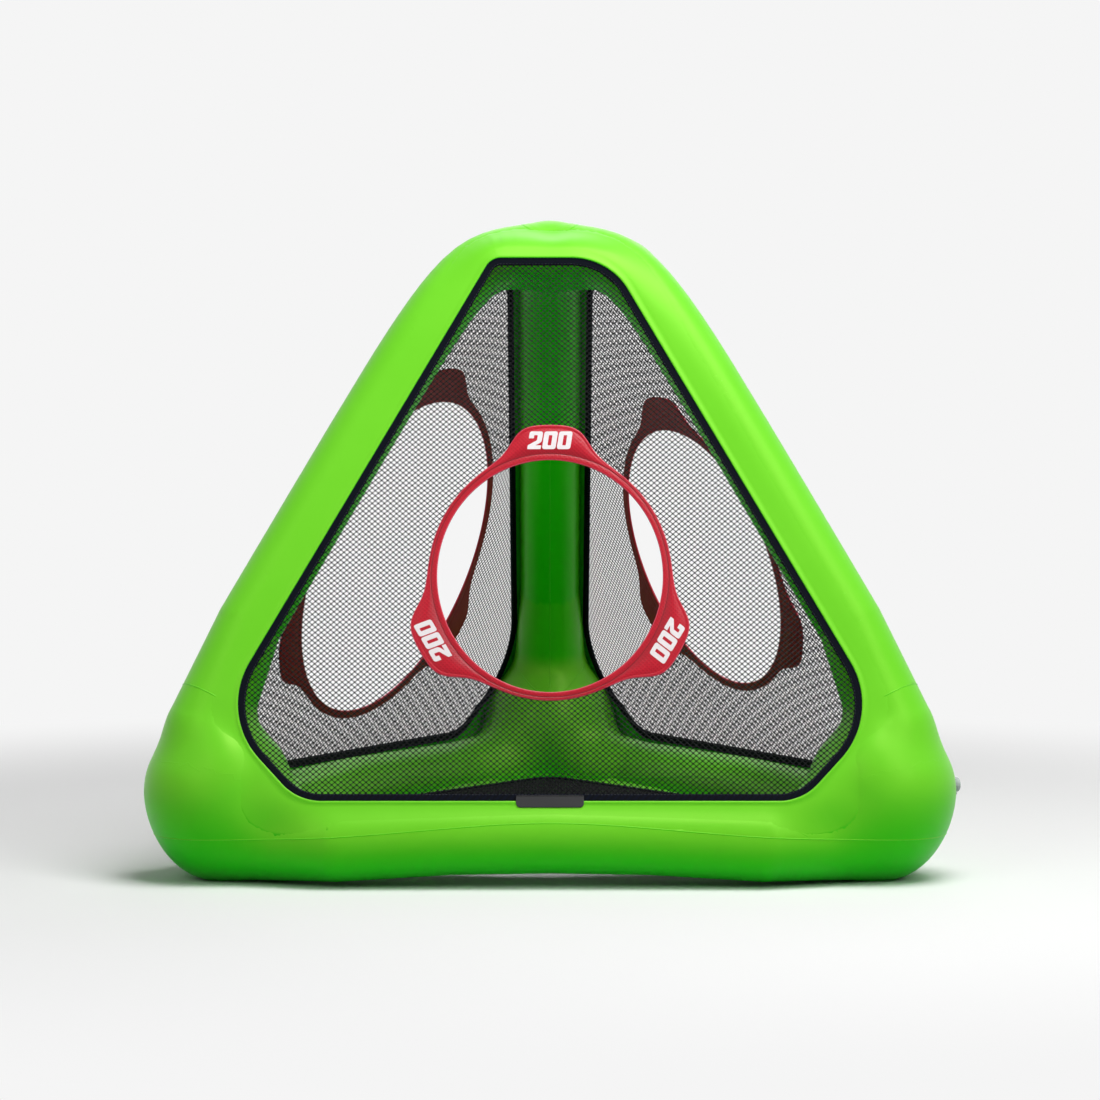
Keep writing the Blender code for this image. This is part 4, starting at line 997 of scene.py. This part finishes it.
def ring_mesh(radius, low, outward, pressed):
    """A ring's film: its level nearest the net, the way it faces, and its pressed lines' depth."""
    inner, ways, width = ring_rows(radius)
    hem = np.minimum(HEM_LINE_INSET, width * HEM_LINE_SHARE)
    rim = width - np.minimum(RIM_LINE_INSET, width * RIM_LINE_SHARE)
    flat, half = np.zeros(RING_STEPS), LINE_HALF_WIDTH
    section = [(flat, 0.35), (flat + EDGE_ROLL / 3, 0.8), (flat + EDGE_ROLL, 1), (hem - 2 * half, 1),
               (hem - half, 1 - pressed), (hem, 1 - 2 * pressed), (hem + half, 1 - pressed / 2),
               ((hem + rim) / 2, 1), (rim - half, 1), (rim, 1 - pressed), (rim + half, 1),
               (width - EDGE_ROLL, 1), (width - EDGE_ROLL / 3, 0.8), (width, 0.35), (width, 0), (flat, 0)]
    rows, edges, lines = [], [], []
    for reach, height in section:
        level = np.full((RING_STEPS, 1), outward * (low + RING_FILM * height))
        rows.append(np.concatenate([inner + ways * reach[:, None], level], axis=1))
        edges.append(np.minimum(reach, width - reach))
        lines.append(np.exp(-np.abs(reach - hem) / LINE_HALF_WIDTH))
    rows = np.stack(rows, axis=1)
    rows[:, :, 1] += RING_CENTRE_HEIGHT
    mesh = loft(rows)
    note(mesh, "edge", np.stack(edges, axis=1).ravel())
    note(mesh, "pressed", np.stack(lines, axis=1).ravel())
    return mesh


def ring_material(name, bright, deep, edge_colour, line_colour, roughness, emboss):
    made, tree = new_tree(name)
    place = node(tree, "TexCoord", gives="Object")
    net_shapes = []
    for turn in (math.pi / 4, -math.pi / 4):
        turned = node(tree, "Mapping", {"Vector": place, "Rotation": (0, 0, turn)})
        net_shapes.append(node(tree, "TexWave", {"Vector": turned, "Scale": math.pi / 10 / EMBOSS_PITCH},
                               gives="Fac", wave_type="BANDS", bands_direction="X"))
    diamonds = node(tree, "Math", {0: net_shapes[0], 1: net_shapes[1]}, operation="MAXIMUM")
    grain = node(tree, "TexNoise", {"Vector": place, "Scale": 1 / EMBOSS_PITCH, "Detail": 3})
    fade = node(tree, "Math", {0: diamonds, 1: grain}, operation="MULTIPLY")
    pressed = node(tree, "Attribute", gives="Fac", attribute_name="pressed")
    colour = node(tree, "MixRGB", {"Fac": fade, "Color1": linear(deep), "Color2": linear(bright)})
    colour = node(tree, "MixRGB", {"Fac": pressed, "Color1": colour, "Color2": linear(line_colour)})
    edge = node(tree, "Attribute", gives="Fac", attribute_name="edge")
    rim = node(tree, "MapRange", {"Value": edge, "From Min": EDGE_ROLL / 3, "From Max": EDGE_ROLL,
                                  "To Min": 0.55, "To Max": 0.0})
    colour = node(tree, "MixRGB", {"Fac": rim, "Color1": colour, "Color2": linear(edge_colour)})
    bump = node(tree, "Bump", {"Height": fade, "Distance": emboss, "Strength": 0.8})
    surface = node(tree, "BsdfPrincipled", {
        "Base Color": colour, "Roughness": roughness, "IOR": 1.54, "Specular IOR Level": 0.3,
        "Normal": bump})
    node(tree, "OutputMaterial", {"Surface": surface})
    return made


red_film = ring_material("red_pvc_film", RING_RED, RING_RED_DEEP, RING_EDGE_PINK, RING_LINE,
                         RING_ROUGHNESS, RING_EMBOSS)
backing_film = ring_material("dark_red_pvc_backing", BACKING_RED, BACKING_RED_DEEP, BACKING_RED,
                             BACKING_RED_DEEP, BACKING_ROUGHNESS, BACKING_EMBOSS)
for side, radius in RING_RADII.items():
    level = NET_THICKNESS / 2 + LAYER_GAP / 2
    add(f"{side}_target", ring_mesh(radius, level, 1, RING_LINE_DEPTH_SHARE), red_film,
        stands_for=[f"{side}_ring"], place=panel_places[side])
    add(f"{side}_target_back", ring_mesh(radius, level, -1, BACKING_LINE_DEPTH_SHARE), backing_film,
        stands_for=[f"{side}_ring_backing"], place=panel_places[side])

# Points: block digits of white PVC film, printed upright on each lobe and leaning forwards. The
# digits are generic. The front ring has 200 points, the two wider ones at the back fewer.
DIGIT_HEIGHT = 0.0206
DIGIT_WIDTH = 0.0150
DIGIT_POST = 0.0056
DIGIT_BAR = 0.0044
DIGIT_ROUND = 0.0030
DIGIT_SLOT_ROUND = 0.0006
DIGIT_ROUND_STEPS = 5
DIGIT_GAP = 0.0014
DIGIT_SLANT_SHARE = 0.15
DIGIT_FILM = 0.00012
DIGIT_MIDDLE = 0.0226
POINTS = {"front": "200", "right": "100", "left": "50"}
PRINT_WHITE = "#f6f1f2"
PRINT_WORN = "#ece2e4"


def soft_corners(corners):
    """A digit's outline with rounded corners. A corner is its x, its y and its round."""
    points = []
    for i, (x, y, size) in enumerate(corners):
        here = Vector((x, y))
        before, after = Vector(corners[i - 1][:2]), Vector(corners[(i + 1) % len(corners)][:2])
        start, end = (here + (spot - here).normalized() * size for spot in (before, after))
        for share in np.linspace(0, 1, DIGIT_ROUND_STEPS if size else 1):
            points.append(start.lerp(here, share).lerp(here.lerp(end, share), share))
    return points


def digit_shapes(digit):
    """Outlines of one digit, the holes after the outer line."""
    w, h, post, bar = DIGIT_WIDTH, DIGIT_HEIGHT, DIGIT_POST, DIGIT_BAR
    r, s, middle = DIGIT_ROUND, DIGIT_SLOT_ROUND, (h - bar) / 2
    if digit == "0":
        return [soft_corners([(0, 0, r), (w, 0, r), (w, h, r), (0, h, r)]),
                soft_corners([(post, bar, s), (w - post, bar, s), (w - post, h - bar, s),
                              (post, h - bar, s)])]
    if digit == "1":
        left = (w - post) / 2
        return [soft_corners([(left, 0, s), (left + post, 0, s), (left + post, h, s), (left + s, h, s),
                              (left - post / 2, h - bar, s), (left - post / 2, middle + bar, s),
                              (left, middle + bar + post / 2, s)])]
    if digit == "2":
        return [soft_corners([(0, 0, s), (w, 0, s), (w, bar, s), (post * 1.5, bar, s), (w, middle, r),
                              (w, h, r), (0, h, r), (0, middle + bar, s), (post, middle + bar, s),
                              (post, h - bar, s), (w - post, h - bar, s), (w - post, middle + bar / 2, s),
                              (0, bar, s)])]
    return [soft_corners([(0, 0, r), (w, 0, r), (w, middle + bar, r), (post, middle + bar, s),
                          (post, h - bar, s), (w, h - bar, s), (w, h, s), (0, h, s), (0, middle, s),
                          (w - post, middle, s), (w - post, bar, s), (post, bar, s), (post, middle - s, s),
                          (0, middle - s, s)])]


def points_mesh(digits, radius):
    """The same digits on all three lobes, each time a third of a turn further on."""
    curve = bpy.data.curves.new("digits", "CURVE")
    curve.dimensions = "2D"
    curve.fill_mode = "BOTH"
    curve.extrude = DIGIT_FILM
    whole = len(digits) * DIGIT_WIDTH + (len(digits) - 1) * DIGIT_GAP
    for lobe_number in range(SIDES):
        turn = Matrix.Rotation(-lobe_number * SECTOR, 2)
        direction = turn @ Vector((0, 1))
        hole_edge = radius / math.hypot(direction.x, direction.y / RING_TALL_SHARE)
        middle = direction * (hole_edge + DIGIT_MIDDLE)
        for i, digit in enumerate(digits):
            left = i * (DIGIT_WIDTH + DIGIT_GAP) - whole / 2
            for shape in digit_shapes(digit):
                line = curve.splines.new("POLY")
                line.points.add(len(shape) - 1)
                for point, (x, y) in zip(line.points, shape):
                    y = y - DIGIT_HEIGHT / 2
                    spot = middle + turn @ Vector((left + x + y * DIGIT_SLANT_SHARE, y))
                    point.co = (spot.x, spot.y + RING_CENTRE_HEIGHT, 0, 1)
                line.use_cyclic_u = True
    item = bpy.data.objects.new("digits", curve)
    bpy.context.scene.collection.objects.link(item)
    mesh = bpy.data.meshes.new_from_object(item.evaluated_get(bpy.context.evaluated_depsgraph_get()))
    bpy.data.objects.remove(item)
    level = NET_THICKNESS / 2 + LAYER_GAP / 2 + RING_FILM + DIGIT_FILM / 2
    mesh.transform(Matrix.Translation((0, 0, level)))
    return mesh


def print_material():
    made, tree = new_tree("white_printed_vinyl")
    place = node(tree, "TexCoord", gives="Object")
    grain = node(tree, "TexNoise", {"Vector": place, "Scale": 1 / EMBOSS_PITCH, "Detail": 3})
    colour = node(tree, "MixRGB", {"Fac": grain, "Color1": linear(PRINT_WHITE),
                                   "Color2": linear(PRINT_WORN)})
    bump = node(tree, "Bump", {"Height": grain, "Distance": DIGIT_FILM, "Strength": 0.5})
    surface = node(tree, "BsdfPrincipled", {"Base Color": colour, "Roughness": 0.4, "IOR": 1.5,
                                            "Normal": bump})
    node(tree, "OutputMaterial", {"Surface": surface})
    return made


white_print = print_material()
for side, digits in POINTS.items():
    add(f"{side}_points", points_mesh(digits, RING_RADII[side]), white_print,
        place=panel_places[side])

# Label tabs: a small bare tab of soft black PVC, moulded, with rounded lower corners, sewn under
# the lower edge of each side panel's tape.
TAB_HALF_WIDTH = 0.037
TAB_UPPER = 0.008
TAB_HANG = 0.0055
TAB_FILLET = 0.0050
TAB_THICKNESS = 0.0008
TAB_EDGE = 0.00035
TAB_BLACK = "#08090d"
TAB_GRAIN = 0.0016


def tab_material():
    made, tree = new_tree("black_moulded_pvc")
    place = node(tree, "NewGeometry")
    grain = node(tree, "TexNoise", {"Vector": place, "Scale": 1 / TAB_GRAIN, "Detail": 3})
    bump = node(tree, "Bump", {"Height": grain, "Distance": TAB_GRAIN / 20, "Strength": 0.5})
    roughness = node(tree, "MapRange", {"Value": grain, "To Min": 0.38, "To Max": 0.52})
    surface = node(tree, "BsdfPrincipled", {"Base Color": linear(TAB_BLACK), "Roughness": roughness,
                                            "IOR": 1.54, "Normal": bump})
    node(tree, "OutputMaterial", {"Surface": surface})
    return made


black_tab = tab_material()
tab_low, tab_high = PANEL_BOTTOM - TAB_HANG, PANEL_BOTTOM + TAB_UPPER
tab_outline = round_corners([(-TAB_HALF_WIDTH, tab_low), (TAB_HALF_WIDTH, tab_low),
                             (TAB_HALF_WIDTH, tab_high), (-TAB_HALF_WIDTH, tab_high)],
                            [TAB_FILLET, TAB_FILLET, TAB_EDGE, TAB_EDGE])
tab_level = strip_level + STRIP_THICKNESS / 4 + LAYER_GAP
rows = []
for inset, height in ((0.5, 0), (0, 0.35), (0, 0.7), (0.7, 1), (3, 1.1)):
    spots, _, _ = outline_parts(tab_outline, -inset * TAB_EDGE)
    rows.append(at_height(spots, tab_level + TAB_THICKNESS * height))
tab = loft(np.stack(rows, axis=0), ends_meet=False)
for side in SIDE_TURNS:
    add(f"{side}_tab", tab, black_tab, stands_for=[f"{side}_label_tab"],
        place=panel_places[side])

# Air valve: soft clear PVC, moulded. A flange is welded into the corner's skin, the stem pushes
# in through it, the plug's cap closes it, and a flap inside holds the air. All are turned shapes
# with soft edges, milky where they are thick.
FLANGE_RADIUS = 0.0160
FLANGE_THICKNESS = 0.0012
STEM_BORE = 0.0050
STEM_OUTER_LENGTH = 0.0115
STEM_INNER_LENGTH = 0.0150
STEM_RIM_RADIUS = 0.0080
STEM_RIM_HEIGHT = 0.0015
PLUG_PIN_RADIUS = 0.0046
PLUG_PIN_LENGTH = 0.0090
PLUG_CAP_RADIUS = 0.0082
PLUG_CAP_HEIGHT = 0.0032
FLAP_RADIUS = 0.0064
FLAP_THICKNESS = 0.0008
RUNNING_GAP = 0.0003
TETHER_WIDTH = 0.0042
TETHER_THICKNESS = 0.0011
TETHER_BULGE = 0.0050
TETHER_STEPS = 60
TETHER_MEET_SHARE = 0.8
TURNED_STEPS = 56
SOFT_EDGE = 0.00035
CLEAR_PVC = "#e9eeee"
CLEAR_PVC_MILKY = "#cfd8d8"


def clear_material():
    made, tree = new_tree("clear_soft_pvc")
    place = node(tree, "NewGeometry")
    cloud = node(tree, "TexNoise", {"Vector": place, "Scale": 1 / STEM_RADIUS, "Detail": 3})
    colour = node(tree, "MixRGB", {"Fac": cloud, "Color1": linear(CLEAR_PVC),
                                   "Color2": linear(CLEAR_PVC_MILKY)})
    roughness = node(tree, "MapRange", {"Value": cloud, "To Min": 0.16, "To Max": 0.3})
    surface = node(tree, "BsdfPrincipled", {
        "Base Color": colour, "Roughness": roughness, "IOR": 1.54, "Transmission Weight": 0.45,
        "Subsurface Weight": 0.4, "Subsurface Radius": (0.004, 0.004, 0.004), "Subsurface Scale": 0.5})
    node(tree, "OutputMaterial", {"Surface": surface})
    return made


def rounded(profile):
    """The profile with each corner off the axis cut twice, into a soft edge."""
    soft = []
    for i, here in enumerate(profile):
        here = Vector(here)
        if here.x < MERGE:
            soft.append(here)
            continue
        before, after = Vector(profile[i - 1]), Vector(profile[(i + 1) % len(profile)])
        room = min(SOFT_EDGE, (before - here).length / 3, (after - here).length / 3)
        start = here + (before - here).normalized() * room
        end = here + (after - here).normalized() * room
        soft.extend([start, (start + end) / 4 + here / 2, end])
    return soft


def turned_mesh(profile):
    """A turned shape: a closed profile of radius and height, swept round Z."""
    profile = rounded(profile)
    turns = np.linspace(0, 2 * math.pi, TURNED_STEPS, endpoint=False)
    rows = np.array([[(spot.x * math.cos(turn), spot.x * math.sin(turn), spot.y) for spot in profile]
                     for turn in turns])
    mesh = loft(rows)
    work = bmesh.new()
    work.from_mesh(mesh)
    bmesh.ops.remove_doubles(work, verts=work.verts, dist=MERGE)
    bmesh.ops.dissolve_degenerate(work, edges=work.edges, dist=MERGE)
    bmesh.ops.recalc_face_normals(work, faces=work.faces)
    work.to_mesh(mesh)
    work.free()
    mesh.shade_smooth()
    mesh.set_sharp_from_angle(angle=CREASE)
    return mesh


clear_pvc = clear_material()
seat = -VALVE_SEAT_DEPTH
base = seat + RUNNING_GAP
flange_top = base + FLANGE_THICKNESS
bore = STEM_RADIUS + RUNNING_GAP
collar = FLANGE_THICKNESS
collar_top = flange_top + FLANGE_THICKNESS / 2
add("valve_flange_ring", turned_mesh(
    [(bore, base), (FLANGE_RADIUS, base), (FLANGE_RADIUS, flange_top - FLANGE_THICKNESS / 3),
     (FLANGE_RADIUS - FLANGE_THICKNESS, flange_top), (bore + 2 * collar, flange_top),
     (bore + collar, collar_top), (bore, collar_top)]),
    clear_pvc, stands_for=["valve_flange"], place=valve_frame)
stem_top = flange_top + STEM_OUTER_LENGTH
stem_low = seat - STEM_INNER_LENGTH
rim = stem_top - STEM_RIM_HEIGHT
add("valve_stem_tube", turned_mesh(
    [(STEM_BORE, stem_low), (STEM_RADIUS, stem_low), (STEM_RADIUS, rim), (STEM_RIM_RADIUS, rim),
     (STEM_RIM_RADIUS, stem_top), (STEM_BORE, stem_top)]),
    clear_pvc, "stem", stands_for=["valve_stem"], place=valve_frame)
under = stem_top + RUNNING_GAP
cap_top = under + PLUG_CAP_HEIGHT
dish = PLUG_CAP_HEIGHT / 5
add("valve_plug_cap", turned_mesh(
    [(0, under - PLUG_PIN_LENGTH), (PLUG_PIN_RADIUS * 0.85, under - PLUG_PIN_LENGTH),
     (PLUG_PIN_RADIUS, under - PLUG_PIN_LENGTH * 0.8), (PLUG_PIN_RADIUS, under), (PLUG_CAP_RADIUS, under),
     (PLUG_CAP_RADIUS, cap_top - dish), (PLUG_CAP_RADIUS - dish, cap_top), (PLUG_CAP_RADIUS * 0.7, cap_top),
     (PLUG_CAP_RADIUS * 0.6, cap_top - dish), (0, cap_top - dish)]),
    clear_pvc, "plug", stands_for=["valve_plug"], place=valve_frame)
flap_level = stem_low - RUNNING_GAP
add("valve_flap_disc", turned_mesh(
    [(0, flap_level - FLAP_THICKNESS), (FLAP_RADIUS, flap_level - FLAP_THICKNESS), (FLAP_RADIUS, flap_level),
     (0, flap_level)]),
    clear_pvc, "flap", stands_for=["valve_flap"], place=valve_frame)

# Valve strap: a flat moulded band that keeps the plug. It is fixed beside the flange, bows
# outwards and ends at the cap's rim. On the real valve it gives when the stem is pushed in, and its
# upper end stretches when the plug is pulled. Here it is made in two lengths that meet near the cap,
# and neither rides on the stem or the plug.
gap = TETHER_THICKNESS / 2 + RUNNING_GAP
start = Vector((0, 2 * gap - FLANGE_RADIUS, flange_top + gap))
end = Vector((0, -PLUG_CAP_RADIUS - gap, cap_top - PLUG_CAP_HEIGHT / 2))
middles = []
for share in np.linspace(0, 1, TETHER_STEPS):
    middles.append(start.lerp(end, share) - Vector((0, TETHER_BULGE * math.sin(math.pi * share), 0)))
middles = np.array(middles)
along = np.gradient(middles, axis=0)
along /= np.linalg.norm(along, axis=1, keepdims=True)
over = np.cross(along, [1.0, 0, 0])
half_width, half_thick = TETHER_WIDTH / 2, TETHER_THICKNESS / 2
soft = half_thick / 2
section = [(half_width, -soft), (half_width, soft), (half_width - soft, half_thick),
           (soft - half_width, half_thick), (-half_width, soft), (-half_width, -soft),
           (soft - half_width, -half_thick), (half_width - soft, -half_thick)]
rows = np.stack([middles + np.array([across, 0, 0]) + over * height for across, height in section], axis=1)
meet = round(TETHER_STEPS * TETHER_MEET_SHARE)
for name, stretch, bodies in (("valve_strap_lower", slice(0, meet + 1), ("frame", "stem")),
                              ("valve_strap_upper", slice(meet, None), ("stem", "plug"))):
    length = loft(rows[stretch], ends_meet=False)
    length.transform(valve_frame)
    piece = add(name, length, clear_pvc, body=None, stands_for=["valve_tether"])
    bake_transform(piece)

# Studio: a plain pale floor, which keeps the object's shadow and runs out into the background, a
# wide soft lamp overhead, softer ones in front and to the sides, and an even pale room.
BACKGROUND = "#f5f5f5"
PAPER = "#f1f1f1"
PAPER_BOUNCED = "#b4b4b4"
FLOOR_HALF = 9.0
FLOOR_NEAR = 0.75
FLOOR_FAR = 1.6
LAMPS = {"overhead": ((0.8, -1.0, 3.1), (1.9, 1.9), 92),
         "front_left": ((-2.2, -3.4, 2.6), (1.8, 1.8), 16),
         "front_right": ((2.4, -2.8, 2.6), (1.8, 1.8), 26),
         "behind": ((0.6, 3.4, 2.6), (2.6, 2.0), 16)}
LAMP_AIM = Vector((0, 0, 0.3))
ROOM_STRENGTH = 0.14


def floor_material():
    made, tree = new_tree("pale_paper_floor")
    place = node(tree, "NewGeometry")
    flat = node(tree, "VectorMath", {0: place, 1: (1, 1, 0)}, operation="MULTIPLY")
    far = node(tree, "VectorMath", {0: flat}, gives="Value", operation="LENGTH")
    fade = node(tree, "MapRange", {"Value": far, "From Min": FLOOR_NEAR, "From Max": FLOOR_FAR},
                interpolation_type="SMOOTHSTEP")
    bounced = node(tree, "LightPath", gives="Is Diffuse Ray")
    shade = node(tree, "MixRGB", {"Fac": bounced, "Color1": linear(PAPER), "Color2": linear(PAPER_BOUNCED)})
    paper = node(tree, "BsdfDiffuse", {"Color": shade})
    pale = node(tree, "Emission", {"Color": linear(BACKGROUND), "Strength": 1.0})
    seen = node(tree, "MixShader", {"Fac": fade, 1: paper, 2: pale})
    node(tree, "OutputMaterial", {"Surface": seen})
    return made


floor_mesh = bpy.data.meshes.new("floor")
floor_mesh.from_pydata([(x * FLOOR_HALF, y * FLOOR_HALF, 0) for x, y in ((-1, -1), (1, -1), (1, 1), (-1, 1))],
                       [], [(0, 1, 2, 3)])
floor = add("floor", floor_mesh, floor_material(), body=None)
for name, (place, size, power) in LAMPS.items():
    lamp = bpy.data.lights.new(name, "AREA")
    lamp.shape = "RECTANGLE"
    lamp.size, lamp.size_y = size
    lamp.energy = power
    holder = bpy.data.objects.new(name, lamp)
    holder.location = place
    holder.rotation_euler = (LAMP_AIM - Vector(place)).to_track_quat("-Z", "Y").to_euler()
    bpy.context.scene.collection.objects.link(holder)
world = bpy.data.worlds.new("room")
world.use_nodes = True
world.node_tree.nodes.clear()
tree = world.node_tree
rays = [node(tree, "LightPath", gives=f"Is {kind} Ray") for kind in ("Camera", "Glossy", "Transmission")]
seen = node(tree, "Math", {0: rays[0], 1: rays[1]}, operation="MAXIMUM")
seen = node(tree, "Math", {0: seen, 1: rays[2]}, operation="MAXIMUM")
room = node(tree, "Background", {"Color": (1, 1, 1, 1), "Strength": ROOM_STRENGTH})
pale = node(tree, "Background", {"Color": linear(BACKGROUND), "Strength": 1.0})
both = node(tree, "MixShader", {"Fac": seen, 1: room, 2: pale})
node(tree, "OutputWorld", {"Surface": both})
bpy.context.scene.world = world
bpy.context.scene.view_settings.view_transform = "Standard"
